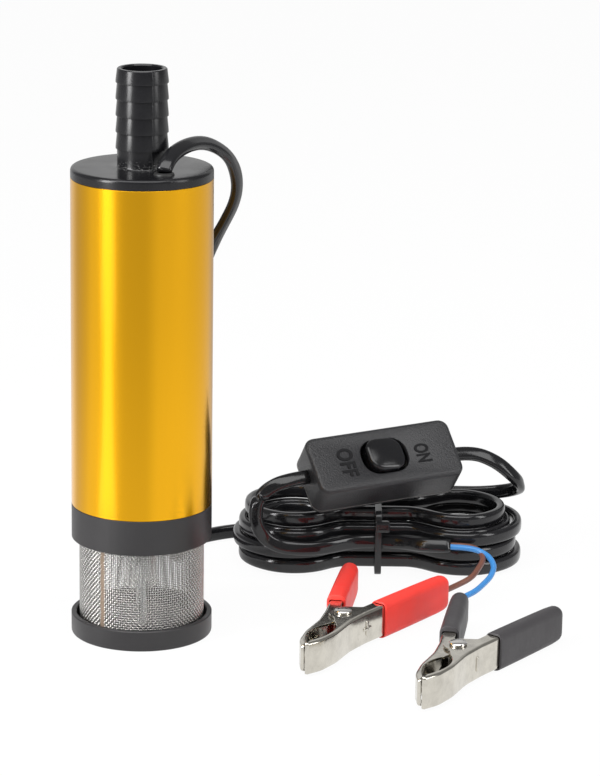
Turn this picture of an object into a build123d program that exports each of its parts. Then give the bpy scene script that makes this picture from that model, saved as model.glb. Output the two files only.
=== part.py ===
# A 12 V submersible transfer pump with its cable, inline rocker switch and battery clips.
# Millimetres. The origin is on the pump's axis at the floor, +Z is up, and the hank of
# cable lies to the right of the pump (+X) and a little behind it (+Y).

import os
from math import atan, atan2, cos, degrees, hypot, pi, radians, sin, tan

from build123d import *

os.makedirs("parts", exist_ok=True)

# Running and fitting clearances
fit_gap = 0.1
run_gap = 0.3
shaft_gap = 0.15

# Outer tube of the pump
body_d = 51.0
body_wall = 1.2
body_bottom = 49.1
body_len = 120.2
body_bore = body_d - 2 * body_wall
body_top = body_bottom + body_len

# Top cap and its hose tail
cap_rim = 3.8
cap_edge = 1.1
cap_spigot = 12.0
cap_spigot_wall = 2.6
tail_bore = 14.4
water_way_d = 15.8
water_way_rise = 0.5
tail_land_d = 18.8
tail_root_d = 17.8
tail_barbs = 5
tail_pitch = 5.9
tail_land = 0.7
tail_foot = 6.6
tail_tip = 5.1
cap_top = body_top + cap_rim
tail_top = cap_top + tail_foot + tail_pitch * (tail_barbs - 1) + tail_tip

# Cable gland in the cap, in front and to the right of the hose tail
gland_inset = 8.66
gland_angle = -60.08
gland_x = (body_d / 2 - gland_inset) * cos(radians(gland_angle))
gland_y = (body_d / 2 - gland_inset) * sin(radians(gland_angle))
gland_d = 7.6
gland_flange_d = 8.6
gland_rise = 1.2

# O-rings and their grooves
ring_d = 1.8

# Base collar and what it carries
collar_h = 12.9
collar_spigot = 11.0
collar_spigot_wall = 2.4
collar_ledge = 2.0
collar_ledge_width = 2.4
collar_bottom = body_bottom - collar_h
collar_top = body_bottom + collar_spigot
ledge_top = body_bottom + 0.9

# Strainer
skirt_wall = 2.65
mesh_d = body_d - 2 * (skirt_wall + fit_gap)
mesh_wall = 0.6
dish_h = 7.6
dish_wall = 1.9
dish_room = 1.05
dish_d = mesh_d + 2 * (dish_room + dish_wall)
dish_floor = 2.4
dish_foot_edge = 1.0
post_d = 10.8
post_bottom = 17.0
post_chamfer = 0.6
screw_d = 4.0
screw_head_d = 7.4
screw_head_h = 1.2
screw_slot = 1.0
screw_grip = 8.0

# Pump plate, impeller and motor
plate_h = 3.0
inlet_slots = 4
inlet_mid_r = 12.5
inlet_width = 5.0
inlet_arc = 50.0
impeller_d = 34.0
impeller_disc = 1.6
impeller_vane_h = 4.4
impeller_vanes = 6
impeller_hub_d = 9.0
impeller_lift = 1.2
vane_wall = 1.6
vane_sweep = 38.0
housing_d = 40.0
housing_wall = 1.8
housing_floor = 4.2
housing_rise = 3.0
housing_fins = 4
fin_wall = 2.0
housing_lid_h = 3.0
can_d = 35.8
can_wall = 1.2
can_len = 56.0
magnet_wall = 4.2
magnet_len = 36.0
magnet_arc = 130.0
shaft_d = 3.2
bush_d = 8.0
bush_len = 5.0
seal_d = 11.0
seal_len = 4.0
armature_d = 23.0
armature_len = 32.0
armature_slots = 5
armature_lift = 11.0
slot_width = 3.4
slot_depth = 5.0
winding_d = 18.0
winding_end = 4.0
commutator_d = 8.6
commutator_len = 7.5
commutator_lift = 4.4
end_cap_h = 6.0
end_cap_spigot = 5.0
end_cap_room = 8.0
brush_w = 4.0
brush_len = 5.0
holder_wall = 1.2
holder_len = 9.6
lead_w = 5.4
lead_t = 3.6
lead_in_r = 12.13
lead_rise = 5.0
lead_drop = 6.4
lead_bend = 16.2

# Flat twin cable, its two cores, and the plain round tube that stands for a free stretch
cable_w = 5.4
cable_t = 3.6
cable_nose = 1.08
cable_flat = 0.8
free_d = 4.4
core_d = 2.2

# Hank: loops wound in and out in layers and drawn in at the waist by the tie
hank_x = 88.0
hank_y = 86.0
hank_layers = 4
hank_runs = 15
layer_pitch = 5.85
loop_pitch = 4.5
bight_half = 18.0
waist_half = 8.0
waist_len = 20.0
left_shoulder = 31.0
right_shoulder = 31.0
shoulder_bend = 11.0
tie_w = 2.6
tie_t = 1.1
tie_gap = 0.2
tie_slack = 0.9
tie_head_w = 5.6
tie_head_h = 4.2
tie_head_l = 2.6
lead_waist_y = 68.8
lead_waist_z = 13.0
sheath_end = (115.5, 58.5, 14.6)
hank_z = tie_t + tie_gap + cable_w / 2

# Inline rocker switch, lying tilted on the hank
switch_at = (88.3, 75.6, 41.3)
switch_yaw = 22.0
switch_lean = 47.0
switch_roll = 2.9
switch_len = 60.0
switch_w = 25.0
switch_h = 15.5
switch_wall = 1.8
switch_corner = 4.0
switch_edge = 1.6
switch_base_t = 1.7
base_chamfer = 0.6
rocker_len = 17.0
rocker_w = 14.0
rocker_above = 5.7
rocker_below = 5.2
rocker_corner = 3.2
rocker_tilt = 8.0
rocker_waist = 0.6
rocker_crown = 0.8
tongue_half = 4.2
tongue_drop = 3.1
window_gap = 0.7
pivot_depth = 3.5
pin_d = 2.0
post_t = 1.6
terminal_len = 9.0
terminal_w = 7.0
terminal_t = 1.0
terminal_from_end = 9.0
terminal_screw_d = 3.0
terminal_head_d = 4.8
terminal_screw_h = 3.2
bridge_w = 5.0
bridge_t = 0.8
bridge_len = 16.0
switch_screw_d = 2.6
switch_screw_head_d = 4.4
switch_screw_len = 8.0
switch_screw_x = 24.0
switch_screw_y = 7.5

# Battery clips, lying on their sides. An arm's outline is drawn about its rivet, with the
# jaws towards -x: its back from the nose to the knee, its eye and its ear
clip_h = 12.0
clip_t = 0.9
clip_axis = 67.5
clip_spread = 14.5
clip_handle = 50.0
handle_depth = 5.0
clip_play = 0.15
nose_x = -36.5
nose_gap = 0.25
clip_back = [(nose_x, 1.4), (-30.5, 4.6), (-21.0, 6.2), (-8.0, 6.3), (3.0, 8.2)]
clip_bends = [1.2, 14.0, 30.0, 30.0, 30.0]
clip_throat = 4.0
clip_ear = [(6.0, -2.0), (3.2, -4.6), (-3.2, -4.6), (-6.0, -1.2)]
eye_back = (-10.5, 1.0)
eye_middle = (-21.5, 4.4)
eye_front_x = -34.0
rivet_d = 4.0
rivet_head_d = 6.2
rivet_head_h = 0.9
rivet_round = 0.7
spring_wire = 1.0
spring_leg = 9.0
sleeve_wall = 1.0
sleeve_front = 10.5
sleeve_end = 3.0
sleeve_corner = 2.6
sleeve_round = 2.1
wire_run = 6.6
red_pivot = (73.8, -15.8)
black_pivot = (114.0, -49.0)

# Heights worked out from the sizes above
plate_top = ledge_top + plate_h
impeller_bottom = plate_top + impeller_lift
impeller_top = impeller_bottom + impeller_vane_h + impeller_disc
housing_bottom = impeller_top + housing_rise
can_bottom = housing_bottom + housing_floor + fit_gap
can_top = can_bottom + can_len
housing_top = can_top + end_cap_h + end_cap_room
armature_bottom = can_bottom + armature_lift
commutator_bottom = armature_bottom + armature_len + commutator_lift
magnet_bottom = armature_bottom - (magnet_len - armature_len) / 2
mesh_top = ledge_top - collar_ledge


def save(part, name):
    """Label a finished piece and write it as its own STEP file."""
    part.label = name
    export_step(part, f"parts/{name}.step")


def ring(name, major_r, height, section_d):
    """An O-ring about the pump's axis."""
    with BuildPart() as o_ring:
        with BuildSketch(Plane.XZ):
            with Locations((major_r, height)):
                Circle(section_d / 2)
        revolve(axis=Axis.Z)
    save(o_ring.part, name)


def groove(outer_r, height):
    """The square groove that an O-ring sits in, as a ring to cut from a spigot."""
    bottom_r = body_bore / 2 - ring_d - fit_gap
    width = outer_r + fit_gap - bottom_r
    with BuildPart() as cutter:
        with BuildSketch(Plane.XZ):
            with Locations((bottom_r + width / 2, height)):
                Rectangle(width, ring_d + 2 * fit_gap)
        revolve(axis=Axis.Z)
    return cutter.part


# Top cap: a disc and spigot with the barbed hose tail, drawn as one revolved outline
cap_r = body_d / 2
spigot_r = body_bore / 2 - fit_gap
spigot_bottom = body_top - cap_spigot
cap_under = body_top - cap_spigot_wall
land_r = tail_land_d / 2
root_r = tail_root_d / 2
barb_tops = [cap_top + tail_foot + tail_pitch * step for step in range(tail_barbs)]
ring_height = body_top - cap_spigot / 2

cap_groove = groove(spigot_r, ring_height)
with BuildPart() as top_cap:
    with BuildSketch(Plane.XZ):
        with BuildLine():
            outline = [(water_way_d / 2, cap_under), (water_way_d / 2, cap_top + water_way_rise)]
            outline += [(tail_bore / 2, cap_top + water_way_rise), (tail_bore / 2, tail_top), (root_r, tail_top)]
            for top in reversed(barb_tops):
                outline += [(land_r, top + tail_land), (land_r, top), (root_r, top)]
            outline += [(root_r, cap_top), (cap_r, cap_top), (cap_r, body_top), (spigot_r, body_top)]
            outline += [(spigot_r, spigot_bottom), (spigot_r - cap_spigot_wall, spigot_bottom)]
            outline += [(spigot_r - cap_spigot_wall, cap_under)]
            Polyline(*outline, close=True)
        make_face()
    revolve(axis=Axis.Z)
    rim_edges = top_cap.edges().filter_by(GeomType.CIRCLE).filter_by(lambda edge: edge.radius > cap_r - fit_gap)
    fillet(rim_edges.sort_by(Axis.Z)[-1], cap_edge)
    add(cap_groove, mode=Mode.SUBTRACT)
    with Locations((gland_x, gland_y, cap_top)):
        Cylinder(gland_d / 2, 3 * (cap_rim + cap_spigot_wall), mode=Mode.SUBTRACT)
save(top_cap.part, "top_cap")
ring("cap_o_ring", body_bore / 2 - ring_d / 2 - fit_gap / 2, ring_height, ring_d)

# Rubber gland round the cable where it comes up through the cap
with BuildPart() as cable_gland:
    with BuildSketch(Plane.XY.offset(cap_under)):
        with Locations((gland_x, gland_y)):
            Circle(gland_d / 2 - fit_gap / 2)
    extrude(amount=cap_rim + cap_spigot_wall)
    with BuildSketch(Plane.XY.offset(cap_top)):
        with Locations((gland_x, gland_y)):
            Circle(gland_flange_d / 2)
    extrude(amount=gland_rise, taper=15)
save(cable_gland.part, "cable_gland")

# Outer tube
with BuildPart() as body_tube:
    with BuildSketch(Plane.XY.offset(body_bottom)):
        Circle(body_d / 2)
        Circle(body_bore / 2, mode=Mode.SUBTRACT)
    extrude(amount=body_len)
save(body_tube.part, "body_tube")

# Base collar: a spigot up into the tube, a ledge for the pump plate, a skirt round the mesh
collar_ring_height = body_bottom + 0.65 * collar_spigot
skirt_bore_r = cap_r - skirt_wall
ledge_bore_r = body_bore / 2 - fit_gap - collar_spigot_wall - collar_ledge_width
collar_groove = groove(spigot_r, collar_ring_height)
with BuildPart() as base_collar:
    with BuildSketch(Plane.XZ):
        with BuildLine():
            Polyline(
                (skirt_bore_r, collar_bottom),
                (cap_r, collar_bottom),
                (cap_r, body_bottom),
                (spigot_r, body_bottom),
                (spigot_r, collar_top),
                (spigot_r - collar_spigot_wall, collar_top),
                (spigot_r - collar_spigot_wall, ledge_top),
                (ledge_bore_r, ledge_top),
                (ledge_bore_r, mesh_top),
                (skirt_bore_r, mesh_top),
                close=True,
            )
        make_face()
    revolve(axis=Axis.Z)
    add(collar_groove, mode=Mode.SUBTRACT)
save(base_collar.part, "base_collar")
ring("collar_o_ring", body_bore / 2 - ring_d / 2 - fit_gap / 2, collar_ring_height, ring_d)

# Strainer mesh, as the plain tube that the weave fills
mesh_bottom = dish_floor
with BuildPart() as strainer_mesh:
    with BuildSketch(Plane.XY.offset(mesh_bottom)):
        Circle(mesh_d / 2)
        Circle(mesh_d / 2 - mesh_wall, mode=Mode.SUBTRACT)
    extrude(amount=mesh_top - mesh_bottom)
save(strainer_mesh.part, "strainer_mesh")

# Strainer dish that closes the foot of the mesh, with the screw's hole in its floor
with BuildPart() as strainer_dish:
    with BuildSketch():
        Circle(dish_d / 2)
    extrude(amount=dish_h)
    fillet(strainer_dish.edges().group_by(Axis.Z)[0], dish_foot_edge)
    with BuildSketch(Plane.XY.offset(dish_floor)):
        Circle(dish_d / 2 - dish_wall)
    extrude(amount=dish_h, mode=Mode.SUBTRACT)
    with BuildSketch():
        Circle(screw_head_d / 2 + fit_gap)
    extrude(amount=screw_head_h, mode=Mode.SUBTRACT)
    with BuildSketch():
        Circle(screw_d / 2 + fit_gap)
    extrude(amount=dish_h, mode=Mode.SUBTRACT)
save(strainer_dish.part, "strainer_dish")

# Pump plate: inlet slots round the boss that the post hangs from
plate_r = spigot_r - collar_spigot_wall - fit_gap
slot_angles = [360 / inlet_slots * k for k in range(inlet_slots)]
with BuildPart() as pump_plate:
    with BuildSketch(Plane.XY.offset(ledge_top)):
        Circle(plate_r)
        for angle in slot_angles:
            SlotArc(CenterArc((0, 0), inlet_mid_r, angle, inlet_arc), inlet_width, mode=Mode.SUBTRACT)
    extrude(amount=plate_h)
save(pump_plate.part, "pump_plate")

# Post below the plate, tapped for the screw that holds the dish and mesh up against the collar
with BuildPart() as strainer_post:
    with BuildSketch(Plane.XY.offset(post_bottom)):
        Circle(post_d / 2)
    extrude(amount=ledge_top - post_bottom)
    chamfer(strainer_post.edges().group_by(Axis.Z)[0], post_chamfer)
    with BuildSketch(Plane.XY.offset(post_bottom)):
        Circle(screw_d / 2 + fit_gap / 2)
    extrude(amount=screw_grip, mode=Mode.SUBTRACT)
save(strainer_post.part, "strainer_post")

with BuildPart() as dish_screw:
    with BuildSketch():
        Circle(screw_head_d / 2)
    extrude(amount=screw_head_h)
    with BuildSketch(Plane.XY.offset(screw_head_h)):
        Circle(screw_d / 2)
    extrude(amount=post_bottom + screw_grip - run_gap - screw_head_h)
    with BuildSketch():
        Rectangle(2 * screw_head_d, screw_slot)
    extrude(amount=screw_head_h / 2, mode=Mode.SUBTRACT)
save(dish_screw.part, "dish_screw")

# Impeller: swept-back vanes between a hub and a disc, pressed on the shaft
impeller_r = impeller_d / 2
vane_start_r = impeller_hub_d / 2 - vane_wall / 2
vane_end_r = impeller_r - vane_wall / 2
with BuildLine() as vane_line:
    ThreePointArc(
        (vane_start_r, 0),
        Vector((vane_start_r + vane_end_r) / 2, 0).rotate(Axis.Z, vane_sweep / 4),
        Vector(vane_end_r, 0).rotate(Axis.Z, vane_sweep),
    )
with BuildPart() as impeller:
    with BuildSketch(Plane.XY.offset(impeller_bottom)):
        Circle(impeller_hub_d / 2)
        with PolarLocations(0, impeller_vanes):
            SlotArc(vane_line.edge(), vane_wall)
    extrude(amount=impeller_vane_h)
    with BuildSketch(Plane.XY.offset(impeller_bottom + impeller_vane_h)):
        Circle(impeller_r)
    extrude(amount=impeller_disc)
    with BuildSketch(Plane.XY.offset(impeller_bottom)):
        Circle(shaft_d / 2)
    extrude(amount=impeller_vane_h + impeller_disc, mode=Mode.SUBTRACT)
save(impeller.part, "impeller")

# Motor housing: a sealed tube on fins, clamped between the collar and the cap, with the
# water passing outside it
housing_bore_r = housing_d / 2 - housing_wall
fin_outer_r = spigot_r
with BuildPart() as motor_housing:
    with BuildSketch(Plane.XY.offset(housing_bottom)):
        Circle(housing_d / 2)
        Circle(housing_bore_r, mode=Mode.SUBTRACT)
    extrude(amount=housing_top - housing_bottom)
    with BuildSketch(Plane.XY.offset(housing_bottom)):
        Circle(housing_bore_r)
        Circle(seal_d / 2, mode=Mode.SUBTRACT)
    extrude(amount=housing_floor)
    fin_inner_r = housing_d / 2 - housing_wall / 2
    with BuildSketch(Plane.XY.offset(collar_top)):
        with PolarLocations((fin_inner_r + fin_outer_r) / 2, housing_fins, start_angle=45):
            Rectangle(fin_outer_r - fin_inner_r, fin_wall)
    extrude(amount=spigot_bottom - collar_top)
save(motor_housing.part, "motor_housing")

# Route of the flat lead from the motor up to the gland
lead_in_x = lead_in_r * cos(radians(gland_angle))
lead_in_y = lead_in_r * sin(radians(gland_angle))
lead_bottom = can_top + end_cap_h
lead_turn_low = housing_top + lead_rise
lead_turn_high = cap_under - lead_drop

with BuildPart() as housing_lid:
    with BuildSketch(Plane.XY.offset(housing_top - housing_lid_h)):
        Circle(housing_bore_r - fit_gap)
        with Locations((lead_in_x, lead_in_y)):
            Circle(lead_w / 2 + run_gap, mode=Mode.SUBTRACT)
    extrude(amount=housing_lid_h)
save(housing_lid.part, "housing_lid")

with BuildPart() as motor_lead:
    with BuildLine() as lead_route:
        FilletPolyline(
            (lead_in_x, lead_in_y, lead_bottom),
            (lead_in_x, lead_in_y, lead_turn_low),
            (gland_x, gland_y, lead_turn_high),
            (gland_x, gland_y, cap_under),
            radius=lead_bend,
        )
    with BuildSketch(Plane(origin=(lead_in_x, lead_in_y, lead_bottom), z_dir=(0, 0, 1)).rotated((0, 0, gland_angle))):
        SlotOverall(lead_w, lead_t, rotation=90)
    sweep()
save(motor_lead.part, "motor_lead")

# Motor can with its lower bush, magnets and brush end cap
can_r = can_d / 2
can_bore_r = can_r - can_wall
bush_boss_r = bush_d / 2 + can_wall
with BuildPart() as motor_can:
    with BuildSketch(Plane.XY.offset(can_bottom)):
        Circle(can_r)
    extrude(amount=can_len)
    with BuildSketch(Plane.XY.offset(can_bottom + can_wall)):
        Circle(can_bore_r)
        Circle(bush_boss_r, mode=Mode.SUBTRACT)
    extrude(amount=can_len, mode=Mode.SUBTRACT)
    with BuildSketch(Plane.XY.offset(can_bottom + bush_len)):
        Circle(bush_boss_r + can_wall)
    extrude(amount=can_len, mode=Mode.SUBTRACT)
    with BuildSketch(Plane.XY.offset(can_bottom)):
        Circle(bush_d / 2)
    extrude(amount=can_len, mode=Mode.SUBTRACT)
save(motor_can.part, "motor_can")

with BuildPart() as magnets:
    with BuildSketch(Plane.XY.offset(magnet_bottom)):
        for side in (0, 180):
            start = side - magnet_arc / 2
            SlotArc(CenterArc((0, 0), can_bore_r - magnet_wall / 2, start, magnet_arc), magnet_wall)
    extrude(amount=magnet_len)
save(magnets.part, "magnets")


def bush(name, bottom):
    """A plain bearing bush round the motor shaft."""
    with BuildPart() as sleeve:
        with BuildSketch(Plane.XY.offset(bottom)):
            Circle(bush_d / 2)
            Circle(shaft_d / 2 + shaft_gap, mode=Mode.SUBTRACT)
        extrude(amount=bush_len)
    save(sleeve.part, name)


upper_bush_bottom = can_top + (end_cap_h - bush_len) / 2
bush("lower_bush", can_bottom)
bush("upper_bush", upper_bush_bottom)

with BuildPart() as shaft_seal:
    with BuildSketch(Plane.XY.offset(housing_bottom)):
        Circle(seal_d / 2)
        Circle(shaft_d / 2 + shaft_gap, mode=Mode.SUBTRACT)
    extrude(amount=seal_len)
save(shaft_seal.part, "shaft_seal")

# Brush gear hangs from the end cap on either side of the commutator
brush_height = commutator_bottom + commutator_len / 2
brush_inner = commutator_d / 2 + run_gap
brush_outer = brush_inner + brush_len
holder_outer = brush_inner + holder_len
holder_w = brush_w + 2 * holder_wall
holder_bottom = brush_height - holder_w / 2
with BuildPart() as motor_end_cap:
    with BuildSketch(Plane.XY.offset(can_top)):
        Circle(can_r)
    extrude(amount=end_cap_h)
    with BuildSketch(Plane.XY.offset(can_top - end_cap_spigot)):
        Circle(can_bore_r - fit_gap)
        Circle(can_bore_r - fit_gap - can_wall, mode=Mode.SUBTRACT)
    extrude(amount=end_cap_spigot)
    with BuildSketch(Plane.XY.offset(holder_bottom)):
        for side in (-1, 1):
            with Locations((side * (brush_inner + 1 + holder_outer) / 2, 0)):
                Rectangle(holder_outer - brush_inner - 1, holder_w)
    extrude(amount=can_top - holder_bottom)
    with BuildSketch(Plane.YZ.offset(-can_r)):
        with Locations((0, brush_height)):
            Rectangle(brush_w + fit_gap, brush_w + fit_gap)
    extrude(amount=can_r + holder_outer - holder_wall, mode=Mode.SUBTRACT)
    with BuildSketch(Plane.XY.offset(upper_bush_bottom)):
        Circle(bush_d / 2)
    extrude(amount=bush_len, mode=Mode.SUBTRACT)
    with BuildSketch(Plane.XY.offset(can_top)):
        Circle(shaft_d / 2 + 2 * shaft_gap)
    extrude(amount=end_cap_h, mode=Mode.SUBTRACT)
save(motor_end_cap.part, "motor_end_cap")

with BuildPart() as brushes:
    for side in (-1, 1):
        with Locations((side * (brush_inner + brush_len / 2), 0, brush_height)):
            Box(brush_len, brush_w, brush_w)
save(brushes.part, "brushes")

spring_len = holder_outer - holder_wall - brush_outer - 2 * fit_gap
with BuildPart() as brush_springs:
    for side in (-1, 1):
        with Locations(Location((side * (brush_outer + fit_gap + spring_len / 2), 0, brush_height), (0, 90, 0))):
            Cylinder(brush_w / 2 - fit_gap, spring_len)
            Cylinder(brush_w / 2 - fit_gap - holder_wall / 2, spring_len, mode=Mode.SUBTRACT)
save(brush_springs.part, "brush_springs")

# What turns: shaft, laminated armature with its windings, commutator and the impeller above
shaft_bottom = impeller_bottom + run_gap
shaft_top = upper_bush_bottom + bush_len
with BuildPart() as motor_shaft:
    with BuildSketch(Plane.XY.offset(shaft_bottom)):
        Circle(shaft_d / 2)
    extrude(amount=shaft_top - shaft_bottom)
save(motor_shaft.part, "motor_shaft")

armature_r = armature_d / 2
slot_mid_r = armature_r - slot_depth / 2
with BuildPart() as armature:
    with BuildSketch(Plane.XY.offset(armature_bottom)):
        Circle(armature_r)
        Circle(shaft_d / 2, mode=Mode.SUBTRACT)
        with PolarLocations(slot_mid_r, armature_slots):
            Rectangle(slot_depth + slot_width, slot_width, mode=Mode.SUBTRACT)
    extrude(amount=armature_len)
save(armature.part, "armature")

with BuildPart() as windings:
    with BuildSketch(Plane.XY.offset(armature_bottom)):
        with PolarLocations(slot_mid_r, armature_slots):
            Rectangle(slot_depth - fit_gap, slot_width - 2 * fit_gap)
    extrude(amount=armature_len)
    for bottom in (armature_bottom - winding_end, armature_bottom + armature_len):
        with BuildSketch(Plane.XY.offset(bottom)):
            Circle(winding_d / 2)
            Circle(shaft_d / 2, mode=Mode.SUBTRACT)
        extrude(amount=winding_end)
save(windings.part, "windings")

with BuildPart() as commutator:
    with BuildSketch(Plane.XY.offset(commutator_bottom)):
        Circle(commutator_d / 2)
        Circle(shaft_d / 2, mode=Mode.SUBTRACT)
    extrude(amount=commutator_len)
save(commutator.part, "commutator")

# Hank of cable. Runs go to and fro along X: rear runs to the right, front runs to the left.
# Each run lies at its own level outside the innermost one, the levels fall and rise again
# as the loops spiral in and out, and each run at a reversal climbs one layer at the waist.
left_x = hank_x - left_shoulder
right_x = hank_x + right_shoulder
run_half = waist_len / 2


def run_level(run):
    """How many loop pitches outside the innermost front run this run lies."""
    return abs(4 - run % 8) / 2 - 0.5


def run_height(quarter):
    """Height of the cable's centre after so many groups of four runs."""
    return hank_z + layer_pitch * max(0, min(quarter, hank_layers - 1))


def gentle_s(start, end, share=0.5, radius=None, radius_at_end=False):
    """Two tangent arcs from one point to another, both ends heading along the first axis.

    The arcs share the radius that the two points leave room for, or one arc's is given.
    """
    step_x = end[0] - start[0]
    step_y = end[1] - start[1]
    turn = 2 * atan(abs(step_y / step_x))
    room = abs(step_x) / sin(turn)
    first_radius = room * share if radius is None else radius
    if radius_at_end:
        first_radius = room - first_radius
    second_radius = room - first_radius
    way_x = 1 if step_x > 0 else -1
    way_y = 1 if step_y > 0 else -1

    def along(origin, radius, angle, sign_x, sign_y):
        return (origin[0] + sign_x * radius * sin(angle), origin[1] + sign_y * radius * (1 - cos(angle)))

    joint = along(start, first_radius, turn, way_x, way_y)
    return [
        (start, along(start, first_radius, turn / 2, way_x, way_y), joint),
        (joint, along(end, second_radius, turn / 2, -way_x, -way_y), end),
    ]


def hank_route():
    """The hank's centre line as a list of arcs (three points) and lines (two points)."""
    pieces = []
    for run in range(hank_runs):
        level = run_level(run)
        rear = run % 2 == 0
        side = 1 if rear else -1
        out_y = hank_y + side * (bight_half + level * loop_pitch)
        in_y = hank_y + side * (waist_half + level * loop_pitch)
        from_x, to_x = (left_x, right_x) if rear else (right_x, left_x)
        way = 1 if rear else -1
        low = run_height((run - 1) // 4)
        high = run_height(run // 4)
        waist_in = (hank_x - way * run_half, in_y)
        waist_out = (hank_x + way * run_half, in_y)
        bend = shoulder_bend + level * loop_pitch
        for arc in gentle_s((from_x, out_y), waist_in, radius=bend):
            pieces.append([(x, y, low) for x, y in arc])
        if high > low:
            for arc in gentle_s((waist_in[0], low), (waist_out[0], high)):
                pieces.append([(x, in_y, z) for x, z in arc])
        else:
            pieces.append([(*waist_in, low), (*waist_out, low)])
        for arc in gentle_s(waist_out, (to_x, out_y), radius=bend, radius_at_end=True):
            pieces.append([(x, y, high) for x, y in arc])
        if run < hank_runs - 1:
            next_y = hank_y - side * (bight_half + run_level(run + 1) * loop_pitch)
            middle = (out_y + next_y) / 2
            radius = abs(out_y - next_y) / 2
            pieces.append([(to_x, out_y, high), (to_x + way * radius, middle, high), (to_x, next_y, high)])
    return pieces


def cable_section(plane):
    """Eight-sided outline of the flat cable, standing on its edge."""
    side = cable_t / 2
    end = cable_w / 2
    with BuildSketch(plane) as section:
        with BuildLine():
            Polyline(
                (side, end - cable_nose),
                (cable_flat, end),
                (-cable_flat, end),
                (-side, end - cable_nose),
                (-side, cable_nose - end),
                (-cable_flat, -end),
                (cable_flat, -end),
                (side, cable_nose - end),
                close=True,
            )
        make_face()
    return section.sketch


hank_pieces = hank_route()
with BuildPart() as cable_hank:
    with BuildLine() as hank_line:
        for piece in hank_pieces:
            if len(piece) == 3:
                ThreePointArc(*piece)
            else:
                Line(*piece)
    start = hank_pieces[0][0]
    add(cable_section(Plane(origin=start, x_dir=(0, 1, 0), z_dir=(1, 0, 0))))
    sweep()
save(cable_hank.part, "cable_hank")
hank_wire = hank_line.wires()[0]
section_area = cable_section(Plane.XY).area
print(f"hank: {hank_wire.length:.0f} mm long, volume {cable_hank.part.volume:.0f},",
      f"section times length {section_area * hank_wire.length:.0f}")

# Least gap of the hank to itself, on points 3 mm apart; nearer along the cable than 30 mm
# counts as the same stretch
point_step = 3.0
same_stretch = 30.0
point_count = int(hank_wire.length / point_step)
hank_points = [hank_wire @ (k / point_count) for k in range(point_count + 1)]
least_gap = min(
    max(hypot(a.X - b.X, a.Y - b.Y) - cable_t, abs(a.Z - b.Z) - cable_w)
    for k, a in enumerate(hank_points)
    for b in hank_points[k + round(same_stretch / point_step):]
)
print(f"hank: least gap to itself {least_gap:.2f} mm")

# Cable tie round the hank's waist and the lead's strand, with its head high on the front
tie_front = lead_waist_y - free_d / 2 - tie_slack
tie_rear = hank_y + waist_half + 1.5 * loop_pitch + cable_t / 2 + tie_gap
tie_low = tie_t
tie_high = hank_z + layer_pitch * (hank_layers - 1) + cable_w / 2 + tie_gap
tie_corner = 2.0
with BuildPart() as cable_tie:
    with BuildSketch(Plane.YZ.offset(hank_x - tie_w / 2)):
        with Locations(((tie_front + tie_rear) / 2, (tie_low + tie_high) / 2)):
            RectangleRounded(tie_rear - tie_front + 2 * tie_t, tie_high - tie_low + 2 * tie_t, tie_corner + tie_t)
            RectangleRounded(tie_rear - tie_front, tie_high - tie_low, tie_corner, mode=Mode.SUBTRACT)
    extrude(amount=tie_w)
    with BuildSketch(Plane.XZ.offset(-tie_front)):
        with Locations((hank_x + (tie_head_w - tie_w) / 2, tie_high - tie_corner - tie_head_h / 2)):
            Rectangle(tie_head_w, tie_head_h)
    extrude(amount=tie_t + tie_head_l)
    chamfer(cable_tie.faces().sort_by(Axis.Y)[0].edges(), tie_t / 2)
save(cable_tie.part, "cable_tie")


def cord_tube(name, points, diameter, route_corner=0.45):
    """A round tube of straight runs joined by arcs as large as the runs allow."""
    corners = [Vector(*point) for point in points]
    runs = [(b - a).length for a, b in zip(corners, corners[1:])]
    turns = [radians((b - a).get_angle(c - b)) for a, b, c in zip(corners, corners[1:], corners[2:])]
    radii = [route_corner * min(r0, r1) / tan(turn / 2) for r0, r1, turn in zip(runs, runs[1:], turns)]
    with BuildPart() as tube:
        with BuildLine() as line:
            FilletPolyline(*points, radius=radii)
        with BuildSketch(Plane(origin=line.line @ 0, z_dir=line.line % 0)):
            Circle(diameter / 2)
        sweep()
    length = line.wires()[0].length
    steps = max(b / a for a, b in zip(runs + runs[::-1], runs[1:] + runs[::-1][1:] + [0]) if b)
    print(f"{name}: {length:.0f} mm, turns to {degrees(max(turns)):.0f} deg, radii from {min(radii):.0f} mm,",
          f"volume {tube.part.volume:.0f} for {pi * diameter ** 2 / 4 * length:.0f}, run ratio {steps:.2f}")
    save(tube.part, name)
    return line.wires()[0]


# Cable from the gland, over the cap's edge and down behind the tube to the hank
hank_in = hank_pieces[0][0]
pump_route = [
    (gland_x, gland_y, cap_top + gland_rise),
    (gland_x, gland_y, 181.7),
    (15.5, -7.0, 187.2),
    (25.0, 4.0, 186.0),
    (33.0, 14.0, 176.0),
    (34.5, 22.0, 160.0),
    (30.5, 28.0, 141.0),
    (23.0, 31.5, 120.0),
    (17.0, 33.0, 95.0),
    (13.0, 36.0, 64.0),
    (11.0, 43.0, 32.0),
    (11.0, 57.0, 9.5),
    (11.5, 75.0, 2.8),
    (14.0, 94.0, 2.7),
    (26.0, 108.5, 2.8),
    (41.0, hank_in[1], hank_in[2]),
    hank_in,
]
cord_tube("pump_cable", pump_route, free_d)

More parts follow.
